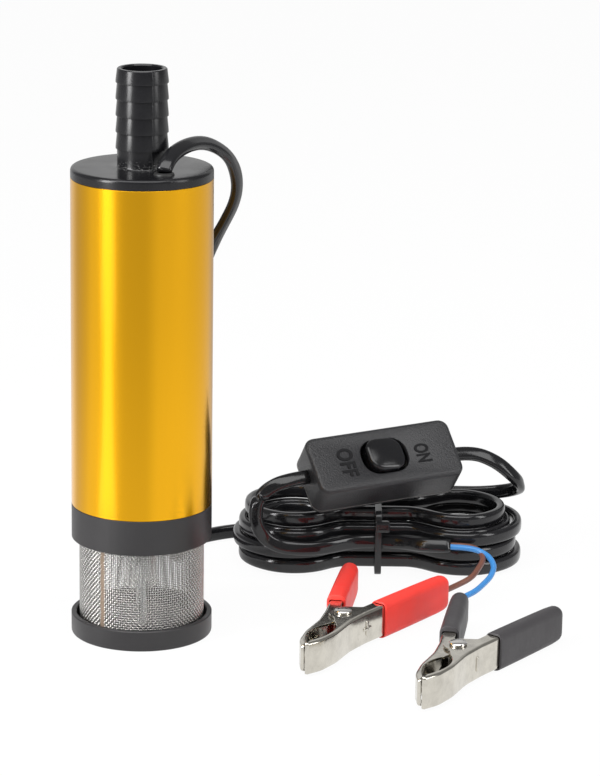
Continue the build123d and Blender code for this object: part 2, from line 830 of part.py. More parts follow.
# Inline switch: a deep cover over a thin base, with a rocker on a pin carried by two posts
yaw = radians(switch_yaw)
lean = radians(switch_lean)
roll = radians(switch_roll)
switch_x_dir = Vector(cos(yaw) * cos(roll), sin(yaw) * cos(roll), sin(roll))
lean_dir = Vector(sin(yaw) * cos(lean), -cos(yaw) * cos(lean), sin(lean))
switch_z_dir = (lean_dir - switch_x_dir * lean_dir.dot(switch_x_dir)).normalized()
switch_plane = Plane(origin=switch_at, x_dir=switch_x_dir, z_dir=switch_z_dir)
switch_axis = Axis(switch_at, switch_z_dir)
switch_back = -switch_h / 2
switch_face = switch_h / 2
cover_bottom = switch_back + switch_base_t
pivot_height = switch_face - pivot_depth
floor_height = cover_bottom
post_offset = rocker_w / 2 + run_gap + post_t / 2
pin_len = 2 * (post_offset + post_t / 2)
terminal_x = switch_len / 2 - switch_wall - terminal_from_end
screw_spots = [(-switch_screw_x, switch_screw_y), (switch_screw_x, -switch_screw_y)]
screw_boss_r = switch_screw_head_d / 2
window_len = rocker_len + 2 * window_gap
window_w = rocker_w + 2 * run_gap

with BuildPart() as switch_cover:
    with BuildSketch(switch_plane.offset(cover_bottom)):
        RectangleRounded(switch_len, switch_w, switch_corner)
    extrude(amount=switch_face - cover_bottom)
    fillet(switch_cover.faces().sort_by(switch_axis)[-1].edges(), switch_edge)
    with BuildSketch(switch_plane.offset(cover_bottom)):
        RectangleRounded(
            switch_len - 2 * switch_wall, switch_w - 2 * switch_wall, switch_corner - switch_wall
        )
    extrude(amount=switch_face - cover_bottom - switch_wall, mode=Mode.SUBTRACT)
    with BuildSketch(switch_plane.offset(cover_bottom)):
        RectangleRounded(window_len, window_w, rocker_corner + run_gap)
    extrude(amount=switch_h, mode=Mode.SUBTRACT)
    with BuildSketch(switch_plane.offset(cover_bottom)):
        with Locations(*screw_spots):
            Circle(screw_boss_r)
            Circle(switch_screw_d / 2, mode=Mode.SUBTRACT)
    extrude(amount=switch_face - cover_bottom - switch_wall)
save(switch_cover.part, "switch_cover")

with BuildPart() as switch_base:
    with BuildSketch(switch_plane.offset(switch_back)):
        RectangleRounded(switch_len, switch_w, switch_corner)
    extrude(amount=switch_base_t)
    chamfer(switch_base.faces().sort_by(switch_axis)[0].edges(), base_chamfer)
    with BuildSketch(switch_plane.offset(floor_height)):
        with Locations((0, -post_offset), (0, post_offset)):
            Rectangle(3 * pin_d, post_t)
    extrude(amount=pivot_height - floor_height)
    with BuildSketch(Plane(origin=switch_plane.from_local_coords((0, -switch_w, pivot_height)),
                           x_dir=switch_x_dir, z_dir=switch_plane.y_dir)):
        Circle(pin_d / 2 + fit_gap / 2)
    extrude(amount=2 * switch_w, mode=Mode.SUBTRACT)
    with BuildSketch(switch_plane.offset(switch_back)):
        with Locations(*screw_spots):
            Circle(switch_screw_d / 2 + fit_gap)
    extrude(amount=switch_base_t, mode=Mode.SUBTRACT)
    with BuildSketch(switch_plane.offset(switch_back)):
        with Locations(*screw_spots):
            Circle(switch_screw_head_d / 2 + fit_gap)
    extrude(amount=switch_base_t / 2, mode=Mode.SUBTRACT)
save(switch_base.part, "switch_base")


def across(offset, height):
    """Plane square to the switch's width, this far across it and this high."""
    origin = switch_plane.from_local_coords((0, offset, height))
    return Plane(origin=origin, x_dir=switch_x_dir, z_dir=switch_plane.y_dir)


# Rocker, drawn about its pin with its right side pressed: a crowned top and a round-bottomed tongue
rocker_half = rocker_len / 2
tilt = radians(rocker_tilt)
rocker_x_dir = switch_x_dir * cos(tilt) - switch_z_dir * sin(tilt)
rocker_plane = Plane(
    origin=across(-rocker_w / 2, pivot_height).origin, x_dir=rocker_x_dir, z_dir=switch_plane.y_dir
)
with BuildPart() as switch_rocker:
    with BuildSketch(rocker_plane):
        with BuildLine():
            Polyline(
                (-rocker_half, -rocker_above),
                (-rocker_half + rocker_waist, 0),
                (-tongue_half, tongue_drop),
            )
            ThreePointArc((-tongue_half, tongue_drop), (0, rocker_below), (tongue_half, tongue_drop))
            Polyline(
                (tongue_half, tongue_drop),
                (rocker_half - rocker_waist, 0),
                (rocker_half, -rocker_above),
            )
            ThreePointArc((rocker_half, -rocker_above), (0, -rocker_above - rocker_crown), (-rocker_half, -rocker_above))
        make_face()
    extrude(amount=rocker_w)
    corner_edges = switch_rocker.edges().filter_by(
        lambda edge: edge.geom_type == GeomType.LINE and abs(edge.length - hypot(rocker_waist, rocker_above)) < 0.01
    )
    fillet(corner_edges, rocker_corner)
    with BuildSketch(rocker_plane):
        Circle(pin_d / 2)
    extrude(amount=rocker_w, mode=Mode.SUBTRACT)
save(switch_rocker.part, "switch_rocker")

with BuildPart() as rocker_pin:
    with BuildSketch(across(-pin_len / 2, pivot_height)):
        Circle(pin_d / 2)
    extrude(amount=pin_len)
save(rocker_pin.part, "rocker_pin")

# Brass inside the switch: a terminal with its screw at each end, a sprung bridge in the middle
with BuildPart() as switch_terminals:
    with BuildSketch(switch_plane.offset(floor_height)):
        with Locations((-terminal_x, 0), (terminal_x, 0)):
            Rectangle(terminal_len, terminal_w)
            Circle(terminal_screw_d / 2, mode=Mode.SUBTRACT)
    extrude(amount=terminal_t)
save(switch_terminals.part, "switch_terminals")

with BuildPart() as terminal_screws:
    with BuildSketch(switch_plane.offset(floor_height)):
        with Locations((-terminal_x, 0), (terminal_x, 0)):
            Circle(terminal_screw_d / 2)
    extrude(amount=terminal_t)
    with BuildSketch(switch_plane.offset(floor_height + terminal_t)):
        with Locations((-terminal_x, 0), (terminal_x, 0)):
            Circle(terminal_head_d / 2)
    extrude(amount=terminal_screw_h)
save(terminal_screws.part, "terminal_screws")

with BuildPart() as contact_bridge:
    with BuildSketch(switch_plane.offset(floor_height)):
        Rectangle(bridge_len, bridge_w)
    extrude(amount=bridge_t)
save(contact_bridge.part, "contact_bridge")

with BuildPart() as switch_screws:
    with BuildSketch(switch_plane.offset(switch_back)):
        with Locations(*screw_spots):
            Circle(switch_screw_head_d / 2)
    extrude(amount=switch_base_t / 2)
    with BuildSketch(switch_plane.offset(switch_back + switch_base_t / 2)):
        with Locations(*screw_spots):
            Circle(switch_screw_d / 2)
    extrude(amount=switch_screw_len)
save(switch_screws.part, "switch_screws")


def handle_frame(side):
    """The knee of an arm and the directions along its handle and in from its back."""
    spread = radians(clip_spread)
    knee = Vector(clip_back[-1][0], side * clip_back[-1][1])
    return knee, Vector(cos(spread), side * sin(spread)), Vector(sin(spread), -side * cos(spread))


def clip_outline(plane, side):
    """Side view of one clip arm, jaw to the left; side is -1 for the arm below the axis."""
    knee, reach, inward = handle_frame(side)
    back = [(nose_x, side * nose_gap)] + [(x, side * y) for x, y in clip_back]
    back.append(knee + reach * clip_handle)
    flange = [back[-1] + inward * handle_depth, knee + reach * clip_throat + inward * handle_depth]
    ear = [(x, side * y) for x, y in clip_ear]
    eye_start = (eye_back[0], side * eye_back[1])
    eye_end = (eye_front_x, side * nose_gap)
    with BuildSketch(plane) as arm_side:
        with BuildLine():
            FilletPolyline(*back, radius=clip_bends)
            Polyline(back[-1], *flange, *ear, eye_start)
            ThreePointArc(eye_start, (eye_middle[0], side * eye_middle[1]), eye_end)
            Line(eye_end, back[0])
        make_face()
    with BuildSketch(plane) as web_strip:
        with BuildLine():
            FilletPolyline(*back, radius=clip_bends)
        trace(line_width=2 * clip_t)
    return arm_side.sketch, (arm_side.sketch & web_strip.sketch)


def clip(colour, pivot, fixed_side):
    """A battery clip on its side: two folded arms on a rivet, a torsion spring, two sleeves."""
    axis_dir = Vector(cos(radians(clip_axis)), sin(radians(clip_axis)), 0)

    def level(height):
        return Plane(origin=(*pivot, sleeve_wall + height), x_dir=axis_dir, z_dir=(0, 0, 1))

    for role, side in (("fixed", fixed_side), ("moving", -fixed_side)):
        inset = 0 if side < 0 else clip_t + clip_play
        hole_r = rivet_d / 2 + (0 if role == "fixed" else run_gap)
        side_view, web = clip_outline(Plane.XY, side)
        with BuildPart() as arm:
            with BuildSketch(level(inset)):
                add(side_view)
            extrude(amount=clip_t)
            with BuildSketch(level(clip_h - inset - clip_t)):
                add(side_view)
            extrude(amount=clip_t)
            with BuildSketch(level(inset)):
                add(web)
            extrude(amount=clip_h - 2 * inset)
            with BuildSketch(level(0)):
                Circle(hole_r)
            extrude(amount=clip_h, mode=Mode.SUBTRACT)
        save(arm.part, f"{colour}_{role}_arm")

        knee, reach, inward = handle_frame(side)
        front_middle = knee + inward * (handle_depth / 2) + reach * sleeve_front
        start = level(0).from_local_coords((front_middle.X, front_middle.Y, clip_h / 2))
        along = level(0).from_local_coords((reach.X, reach.Y, 0)) - level(0).origin
        square = Plane(origin=start, x_dir=along.cross(Vector(0, 0, 1)), z_dir=along)
        grip = clip_handle - sleeve_front
        with BuildPart() as sleeve:
            with BuildSketch(square):
                RectangleRounded(handle_depth + 2 * sleeve_wall, clip_h + 2 * sleeve_wall, sleeve_corner)
            extrude(amount=grip + sleeve_end)
            fillet(sleeve.faces().sort_by(Axis(start, along))[-1].edges(), sleeve_round)
            with BuildSketch(square):
                Rectangle(handle_depth + 2 * fit_gap, clip_h - 2 * inset + 2 * fit_gap)
            extrude(amount=grip + fit_gap, mode=Mode.SUBTRACT)
        save(sleeve.part, f"{colour}_{role}_sleeve")
        if role == "fixed":
            wire_entry = start + along * (grip + sleeve_end)
            wire_run_in = wire_entry + along * wire_run

    with BuildPart() as rivet:
        with BuildSketch(level(-rivet_head_h)):
            Circle(rivet_head_d / 2)
        extrude(amount=rivet_head_h)
        with BuildSketch(level(0)):
            Circle(rivet_d / 2)
        extrude(amount=clip_h)
        with BuildSketch(level(clip_h)):
            Circle(rivet_head_d / 2)
        extrude(amount=rivet_head_h)
        fillet(rivet.faces().sort_by(Axis.Z)[-1].edges(), rivet_round)
    save(rivet.part, f"{colour}_rivet")

    coil_low = 2 * clip_t + 2 * clip_play + run_gap
    coil_r = rivet_d / 2 + run_gap
    with BuildPart() as spring:
        with BuildSketch(level(coil_low)):
            Circle(coil_r + spring_wire)
            Circle(coil_r, mode=Mode.SUBTRACT)
        extrude(amount=clip_h - 2 * coil_low)
        for height, side in ((coil_low, -1), (clip_h - coil_low - spring_wire, 1)):
            with BuildSketch(level(height)):
                with Locations((spring_leg / 2, side * (coil_r + spring_wire / 2))):
                    Rectangle(spring_leg, spring_wire)
            extrude(amount=spring_wire)
    save(spring.part, f"{colour}_spring")
    return wire_run_in, wire_entry


red_run_in, red_entry = clip("red", red_pivot, -1)
black_run_in, black_entry = clip("black", black_pivot, 1)
for colour, spot in (("red", red_entry), ("black", black_entry)):
    print(f"{colour} clip: its wire enters at {spot.X:.3f}, {spot.Y:.3f}, {spot.Z:.3f}")

# Cable from the hank's end up into the right end of the switch
switch_right = switch_plane.from_local_coords((switch_len / 2, 0, 0))
switch_left = switch_plane.from_local_coords((-switch_len / 2, 0, 0))
stub = switch_x_dir * (2 * free_d)
hank_out = hank_pieces[-1][-1]
cord_tube("switch_cable", [
    hank_out,
    (130.0, hank_out[1], hank_out[2]),
    (140.5, 103.5, 23.6),
    (145.0, 95.0, 28.0),
    (141.0, 88.0, 34.0),
    (134.0, 88.5, 40.0),
    tuple(switch_right + stub),
    tuple(switch_right),
], free_d)

# Cable from the left end of the switch, down and along the front of the hank, to its cut sheath
battery_route = [
    tuple(switch_left),
    tuple(switch_left - stub),
    (42.0, 57.5, 36.0),
    (36.5, 56.0, 28.0),
    (38.0, 56.0, 19.5),
    (46.0, 57.0, 13.8),
    (57.0, 58.2, 12.6),
    (68.0, 61.0, 12.6),
    (78.0, 67.5, lead_waist_z),
    (hank_x, lead_waist_y, lead_waist_z),
    (97.5, 66.8, 13.2),
    (106.0, sheath_end[1], sheath_end[2]),
    sheath_end,
]
cord_tube("battery_cable", battery_route, free_d)

# The two cores go on from the sheath's end, one to each clip
core_side = core_d / 2
cord_tube("brown_core", [
    (sheath_end[0], sheath_end[1] + core_side, sheath_end[2]),
    (121.5, sheath_end[1] + core_side, sheath_end[2]),
    (126.5, 58.0, 13.6),
    (128.2, 51.8, 12.0),
    (126.0, 45.5, 10.4),
    (123.0, 38.5, 8.6),
    tuple(red_run_in),
    tuple(red_entry),
], core_d)
cord_tube("blue_core", [
    (sheath_end[0], sheath_end[1] - core_side, sheath_end[2]),
    (123.0, sheath_end[1] - core_side, sheath_end[2]),
    (129.5, 54.0, 13.0),
    (132.0, 47.0, 11.0),
    (130.5, 39.5, 9.2),
    (127.0, 32.0, 8.2),
    (123.5, 25.0, 7.6),
    (118.5, 19.6, 7.1),
    tuple(black_run_in),
    tuple(black_entry),
], core_d)
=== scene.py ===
# %% [markdown]
# A 12 V submersible pump, dressed for a studio picture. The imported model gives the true
# places of every piece, so the first step is to load it and to keep its overall box. Each
# cell after this one either makes one piece or mixes one finish.

# %% Load the frame
from math import cos, pi, radians, sin, tau

import bmesh
import bpy
from mathutils import Matrix, Vector


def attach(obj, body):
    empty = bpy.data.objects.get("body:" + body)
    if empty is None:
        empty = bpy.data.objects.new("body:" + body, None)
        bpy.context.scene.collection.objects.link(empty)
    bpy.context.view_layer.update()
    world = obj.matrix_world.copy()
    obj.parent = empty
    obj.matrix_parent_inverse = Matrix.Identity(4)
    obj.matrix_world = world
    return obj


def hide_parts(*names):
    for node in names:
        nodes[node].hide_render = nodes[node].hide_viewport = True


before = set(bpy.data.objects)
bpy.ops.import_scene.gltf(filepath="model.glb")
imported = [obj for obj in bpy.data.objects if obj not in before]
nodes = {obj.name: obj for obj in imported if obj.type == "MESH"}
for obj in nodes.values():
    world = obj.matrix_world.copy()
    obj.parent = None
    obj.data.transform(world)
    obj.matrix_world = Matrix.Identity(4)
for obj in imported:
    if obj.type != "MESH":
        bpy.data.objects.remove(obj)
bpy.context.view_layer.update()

MM = 0.001

# %% [markdown]
# The camera stands where the photographer's did: more than a metre away with a long lens,
# so that the pump's sides stay nearly parallel, looking down on it by fifteen degrees. The
# picture is turned by less than a degree, which shows on the pump's upright edges.

# %% Camera
camera_place = Vector((0.057, -1.160, 0.4077))
camera_tilt = radians(15.2)
camera_roll = radians(0.8)
camera_lens = 154.7


def linked(name, data):
    """A new object with this data, put in the scene."""
    made = bpy.data.objects.new(name, data)
    bpy.context.collection.objects.link(made)
    return made


def add_camera():
    """A camera looking along +Y, tilted down and rolled a little."""
    look = Vector((0, cos(camera_tilt), -sin(camera_tilt)))
    level = Vector((1, 0, 0))
    upright = level.cross(look)
    right = level * cos(camera_roll) + upright * sin(camera_roll)
    up = upright * cos(camera_roll) - level * sin(camera_roll)
    data = bpy.data.cameras.new("camera")
    data.lens = camera_lens
    data.clip_end = 20
    eye = linked("camera", data)
    turn = Matrix((right, up, -look)).transposed()
    eye.matrix_world = Matrix.Translation(camera_place) @ turn.to_4x4()
    bpy.context.scene.camera = eye


add_camera()
bpy.context.scene.view_settings.view_transform = "Standard"
print("camera", round(-camera_place.y, 2), "m in front, lens", camera_lens, "mm")

# %% [markdown]
# Finishes are built from shader nodes. Two small classes keep them short: the first adds a
# node to any tree and wires it up in one call, and the second makes a material and lays
# noise, ramps and bumps on it. A material here never uses a picture: its grain and its
# marks come from noise and waves measured in metres on the piece itself.

# %% Material helpers


class Nodes:
    """A node tree under construction."""

    def __init__(self, tree):
        self.tree = tree

    def put(self, value, socket):
        """Wire a node's output to a socket, or set the socket to a plain value."""
        if isinstance(value, bpy.types.NodeSocket):
            self.tree.links.new(value, socket)
        else:
            socket.default_value = value

    def add(self, kind, inputs=None, **settings):
        """Add a node; each input is a value or another node's output."""
        made = self.tree.nodes.new(kind)
        for setting, value in settings.items():
            setattr(made, setting, value)
        for socket, value in (inputs or {}).items():
            self.put(value, made.inputs[socket])
        return made

    def node(self, kind, inputs=None, out=0, **settings):
        """Add a node and hand back one of its outputs."""
        return self.add(kind, inputs, **settings).outputs[out]

    def sum(self, operation, first, second=0.0):
        """One sum on two numbers."""
        return self.node("ShaderNodeMath", {0: first, 1: second}, operation=operation)

    def split(self, vector):
        """The three parts of a vector."""
        return self.add("ShaderNodeSeparateXYZ", {"Vector": vector}).outputs


# %% Making a finish


class Finish(Nodes):
    """A material under construction: its shader and the coordinates of the piece."""

    def __init__(self, name, color, roughness, metallic=0.0, **sockets):
        """Constants go on the shader's own sockets; an underscore stands for a space."""
        self.material = bpy.data.materials.new(name)
        self.material.use_nodes = True
        super().__init__(self.material.node_tree)
        self.shader = self.tree.nodes["Principled BSDF"]
        plain = {"Base Color": (*color, 1.0), "Roughness": roughness, "Metallic": metallic, **sockets}
        for socket, value in plain.items():
            self.shader.inputs[socket.replace("_", " ")].default_value = value
        self.place = self.node("ShaderNodeTexCoord", out="Object")

    def noise(self, scale, detail, stretch=(1, 1, 1), roughness=0.55):
        """Cloudy noise of so many waves per metre, stretched along an axis if wanted."""
        spread = self.node("ShaderNodeMapping", {"Vector": self.place, "Scale": stretch})
        inputs = {"Vector": spread, "Scale": scale, "Detail": detail, "Roughness": roughness}
        return self.node("ShaderNodeTexNoise", inputs, out="Fac")

    def ramp(self, value, *stops):
        """Turn a number into a grey; each stop is (position, grey)."""
        band = self.add("ShaderNodeValToRGB", {"Fac": value})
        points = band.color_ramp.elements
        while len(points) < len(stops):
            points.new(0.5)
        for point, (position, grey) in zip(points, stops):
            point.position = position
            point.color = (grey, grey, grey, 1)
        return band.outputs[0]

    def bump(self, height, distance, under=None):
        """Raise the surface by a height map; under is an earlier bump to build on."""
        inputs = {"Height": height, "Distance": distance, "Strength": 1.0}
        if under is not None:
            inputs["Normal"] = under
        return self.node("ShaderNodeBump", inputs)

    def blend(self, share, first, second):
        """Mix two colours by a share between 0 and 1."""
        paints = [c if isinstance(c, bpy.types.NodeSocket) else (*c, 1.0) for c in (first, second)]
        inputs = {0: share, 6: paints[0], 7: paints[1]}
        return self.node("ShaderNodeMix", inputs, out=2, data_type="RGBA")

    def done(self, color, roughness, normal=None):
        """Feed the shader's colour, roughness and normal, and hand the material over."""
        for socket, output in (("Base Color", color), ("Roughness", roughness), ("Normal", normal)):
            if output is not None:
                self.tree.links.new(output, self.shader.inputs[socket])
        print("finish:", self.material.name)
        return self.material


# %% [markdown]
# The pump stands on a white sweep, as in a catalogue picture. The floor is plain white and
# keeps a faint shadow. Seen straight it also glows, which gives the clean background
# without more light on the pump. An upright tube seen from above mirrors the floor, so what
# a reflection sees of the paper is graded by direction from the pump, never brighter than
# white: duller in front and behind, as with grey cards laid round it.

# %% Floor and backdrop
floor_reach = 3.0
sweep_radius = 0.8
sweep_steps = 12


def add_sweep():
    """A floor that curves up into a backdrop far behind the pump."""
    rows = [(-floor_reach, 0.0)]
    for step in range(sweep_steps + 1):
        angle = pi / 2 * step / sweep_steps
        rows.append((floor_reach + sweep_radius * sin(angle), sweep_radius * (1 - cos(angle))))
    rows.append((floor_reach + sweep_radius, floor_reach))
    mesh = bpy.data.meshes.new("sweep")
    verts = [(x, y, z) for y, z in rows for x in (-floor_reach, floor_reach)]
    faces = [(2 * k, 2 * k + 1, 2 * k + 3, 2 * k + 2) for k in range(len(rows) - 1)]
    mesh.from_pydata(verts, [], faces)
    mesh.polygons.foreach_set("use_smooth", [True] * len(faces))
    sweep = linked("sweep", mesh)
    return sweep


sweep = add_sweep()
print("sweep", 2 * floor_reach, "m wide")

# %% White paper
paper_glow = 0.95
paper_bands = [
    (-180, 0.80), (-140, 0.80), (-122, 0.55), (-98, 0.66), (-84, 0.85), (-36, 0.70), (-26, 0.62),
    (10, 0.62), (28, 0.82), (60, 0.85), (100, 0.80), (135, 0.75), (158, 0.45), (180, 0.80),
]
paper_fall = [(0.22, 1.3), (0.42, 1.06), (0.65, 0.97)]


def white_paper():
    """Matt white that glows where the camera sees it, and in bands where a reflection does."""
    finish = Finish("white_paper", (0.86, 0.86, 0.86), 0.9)
    path = finish.add("ShaderNodeLightPath").outputs
    seen = path["Is Camera Ray"]
    mirrored = finish.sum("MAXIMUM", path["Is Glossy Ray"], path["Is Transmission Ray"])
    x, y, _ = finish.split(finish.place)
    angle = finish.sum("ARCTAN2", x, finish.sum("MULTIPLY", y, -1.0))
    turn = finish.sum("ADD", finish.sum("DIVIDE", angle, tau), 0.5)
    level = finish.ramp(turn, *[(degrees / 360 + 0.5, grey) for degrees, grey in paper_bands])
    flat = finish.node("ShaderNodeCombineXYZ", {"X": x, "Y": y})
    away = finish.node("ShaderNodeVectorMath", {0: flat}, out="Value", operation="LENGTH")
    bands = finish.sum("MULTIPLY", level, finish.ramp(away, *paper_fall))
    mirror_level = finish.sum("MULTIPLY", mirrored, finish.sum("MINIMUM", bands, 1.0))
    strength = finish.sum("ADD", seen, mirror_level)
    glow = finish.node("ShaderNodeEmission", {"Color": (1, 1, 1, 1), "Strength": strength})
    share = finish.sum("ADD", finish.sum("MULTIPLY", seen, paper_glow), mirrored)
    mix = finish.node("ShaderNodeMixShader", {0: share, 1: finish.shader.outputs[0], 2: glow})
    finish.put(mix, finish.tree.nodes["Material Output"].inputs["Surface"])
    return finish.material


sweep.data.materials.append(white_paper())
print("grey levels round the pump:", len(paper_bands))

# %% World
world_light = 0.44
mirrored_share = 0.55


def studio_air():
    """A white world, weak as light, and weaker still where it shows in a reflection."""
    world = bpy.data.worlds.new("studio")
    world.use_nodes = True
    bpy.context.scene.world = world
    air = Nodes(world.node_tree)
    path = air.add("ShaderNodeLightPath").outputs
    seen = {"Value": path["Is Camera Ray"], "To Min": world_light, "To Max": 1.0}
    mirrored = {"Value": path["Is Glossy Ray"], "To Min": 1.0, "To Max": mirrored_share}
    levels = [air.node("ShaderNodeMapRange", inputs) for inputs in (seen, mirrored)]
    background = air.tree.nodes["Background"].inputs
    background["Color"].default_value = (1, 1, 1, 1)
    air.put(air.sum("MULTIPLY", *levels), background["Strength"])


studio_air()
print("light of the world:", world_light)

# %% [markdown]
# Soft boxes light the set. A tall one on the left and two weak strips that lie end to end on
# the floor below it make the pale stripe down the tube, a narrow one on the right picks out
# its far edge and the cable loops, and one overhead lights the cap and the switch.

# %% Soft boxes


def soft_box(name, place, width, height, power):
    """A rectangular lamp at one point, facing the pump."""
    lamp = bpy.data.lights.new(name, "AREA")
    lamp.shape = "RECTANGLE"
    lamp.size = width
    lamp.size_y = height
    lamp.energy = power
    box = linked(name, lamp)
    box.location = place
    box.rotation_euler = (subject - Vector(place)).to_track_quat("-Z", "Y").to_euler()
    print("lamp:", name, power, "W")
    return box


subject = Vector((0.05, 0.02, 0.08))
strip_turn = radians(-52)
strip_lift = 0.002
# distance from the pump, width, length and power of each strip
strips = {"near_strip": (0.33, 0.10, 0.34, 0.10), "far_strip": (0.95, 0.26, 0.90, 0.74)}
soft_box("left_box", (-0.88, -0.60, 0.50), 0.35, 0.9, 15.0)
soft_box("right_box", (0.95, -0.35, 0.5), 0.3, 0.8, 3.5)
for name, (reach, width, length, power) in strips.items():
    strip_at = (reach * sin(strip_turn), -reach * cos(strip_turn), strip_lift)
    strip = soft_box(name, strip_at, width, length, power)
    # a strip lies flat and shines upwards
    strip.rotation_euler = (pi, 0.0, strip_turn)
soft_box("top_box", (0.0, -0.45, 1.1), 1.3, 0.9, 12.0)

# %% [markdown]
# The cable is two metres of flat twin lead: two cores side by side in one sheath, wider
# than it is thick. Its route is one smooth curve led by listed points, straight
# up out of the gland, over the cap's edge and down behind the tube, along the floor, round
# the hank and up into the switch. The hank's own points come from a loop. Because the lead
# is flat, its section also has to be turned the right way all along, which is why the tube
# is built ring by ring instead of with a curve's round bevel.

# %% Routes of the leads, in millimetres
cable_width = 5.4
cable_thickness = 3.6
core_diameter = 2.2
gland_at = (8.4, -14.6)
gland_top = 174.3
switch_at = Vector((88.3, 75.6, 41.3))
switch_along = Vector((0.92600, 0.37413, 0.05059))
switch_out = Vector((0.22137, -0.64662, 0.72998))
switch_across = switch_out.cross(switch_along)
switch_half = 30.0
stub = switch_along * 8.8
switch_right = switch_at + switch_along * switch_half
switch_left = switch_at - switch_along * switch_half

hank_x = 88.0
hank_y = 86.0
hank_low = 4.0
hank_layers = 4
hank_runs = 15
layer_pitch = 5.85
loop_pitch = 4.5
shoulder = 31.0
bight_half = 18.0
waist_half = 8.0
run_end = 26
run_steps = (-run_end, -15, -6, 6, 15, run_end)


def hank_points():
    """Control points of the hank: six along each run and four round each bight."""
    points = []
    levels = [abs(4 - run % 8) / 2 - 0.5 for run in range(hank_runs + 1)]
    for run in range(hank_runs):
        way = 1 if run % 2 == 0 else -1
        out_y = hank_y + way * (bight_half + levels[run] * loop_pitch)
        in_y = hank_y + way * (waist_half + levels[run] * loop_pitch)
        low = hank_low + layer_pitch * max(0, min((run - 1) // 4, hank_layers - 1))
        high = hank_low + layer_pitch * min(run // 4, hank_layers - 1)
        for step in run_steps:
            y = out_y if abs(step) == run_end else in_y
            points.append((hank_x + way * step, y, low if step < 0 else high))
        if run < hank_runs - 1:
            next_y = hank_y - way * (bight_half + levels[run + 1] * loop_pitch)
            middle = (out_y + next_y) / 2
            corner = abs(out_y - next_y) / 2 / cos(pi / 8)
            for eighth in (3, 1, -1, -3):
                angle = eighth * pi / 8
                x = hank_x + way * (shoulder + corner * cos(angle))
                points.append((x, middle + way * corner * sin(angle), high))
    return points


hank_in = (57.0, 110.75, 4.0)
hank_out = (119.0, 106.25, 21.55)
pump_points = [
    (*gland_at, gland_top), (9.1, -12.6, 176.8), (11.7, -7.0, 179.6), (16.1, 1.0, 180.9), (20.9, 9.5, 180.2),
    (25.6, 16.0, 177.5), (30.0, 21.5, 173.0), (32.5, 25.5, 167.0), (33.3, 28.5, 160.5), (32.2, 30.5, 154.0),
    (29.0, 32.0, 147.0), (25.0, 33.0, 139.5), (21.3, 33.5, 131.5), (18.4, 33.7, 122.0), (16.6, 34.0, 105.0),
    (14.8, 34.5, 84.0), (13.0, 36.0, 64.0), (11.0, 43.0, 32.0), (11.0, 57.0, 9.5), (11.5, 77.0, 2.8),
    (14.0, 99.0, 2.8), (26.0, 108.5, 3.0), (41.0, 110.75, 4.0), hank_in,
]
switch_points = [
    hank_out, (130.0, 106.25, 21.55), (140.5, 103.5, 23.6), (145.0, 95.0, 28.0), (141.0, 88.0, 34.0),
    (134.0, 88.5, 40.0), switch_right + stub, switch_right,
]
battery_points = [
    switch_left, switch_left - stub, (45.0, 58.6, 36.6), (40.6, 57.0, 31.0), (41.0, 56.4, 22.0),
    (47.0, 57.0, 14.6), (57.0, 58.2, 12.6), (68.0, 61.0, 12.6), (78.0, 67.5, 13.0), (88.0, 68.8, 13.0),
    (97.5, 66.8, 13.2), (106.0, 58.5, 14.6), (115.5, 58.5, 14.6),
]
brown_points = [
    (115.5, 59.6, 14.6), (121.5, 59.6, 14.6), (126.5, 58.0, 13.6), (128.2, 51.8, 12.0), (126.0, 45.5, 10.4),
    (123.0, 38.5, 8.6), (116.395, 32.937, 7.0), (112.423, 27.666, 7.0),
]
blue_points = [
    (115.5, 57.4, 14.6), (123.0, 57.4, 14.6), (129.5, 54.0, 13.0), (132.0, 47.0, 11.0), (130.5, 39.5, 9.2),
    (127.0, 32.0, 8.2), (123.5, 25.0, 7.6), (118.5, 19.6, 7.1), (118.343, 15.582, 7.0), (117.424, 9.046, 7.0),
]
lead_points = pump_points + hank_points() + switch_points
print("lead control points:", len(lead_points))

# %% Curve helpers


def metres(points):
    """Points in millimetres as vectors in metres."""
    return [Vector(point) * MM for point in points]


def smooth_line(name, points, steps=8):
    """A curve object: one NURBS spline with these control points, given in mm."""
    curve = bpy.data.curves.new(name, "CURVE")
    curve.dimensions = "3D"
    spline = curve.splines.new("NURBS")
    spline.points.add(len(points) - 1)
    for knot, point in zip(spline.points, metres(points)):
        knot.co = (*point, 1.0)
    spline.order_u = 3
    spline.use_endpoint_u = True
    spline.resolution_u = steps
    curve.resolution_u = steps
    return linked(name, curve)


def mesh_of(shape):
    """The plain mesh of a curve or a text, which is then removed."""
    bpy.context.view_layer.update()
    mesh = bpy.data.meshes.new_from_object(shape)
    bpy.data.objects.remove(shape)
    return mesh


def read_line(name, points):
    """The points along a smooth line."""
    mesh = mesh_of(smooth_line(name, points))
    path = [vert.co.copy() for vert in mesh.vertices]
    bpy.data.meshes.remove(mesh)
    return path


# %% Piece helpers


def new_piece(name, mesh, material, smooth=True):
    """Put a mesh or a finished bmesh in the scene as a piece of the object."""
    if isinstance(mesh, bmesh.types.BMesh):
        draft, mesh = mesh, bpy.data.meshes.new(name)
        draft.to_mesh(mesh)
        draft.free()
    mesh.materials.append(material)
    if smooth:
        mesh.polygons.foreach_set("use_smooth", [True] * len(mesh.polygons))
    return linked(name, mesh)


def belong(pieces, body, slot, *cad_nodes):
    """Say which body the pieces ride on and which nodes they replace; the slot is not used."""
    for piece in pieces:
        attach(piece, body)
        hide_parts(*cad_nodes)
        print("piece:", piece.name, "for", *cad_nodes)


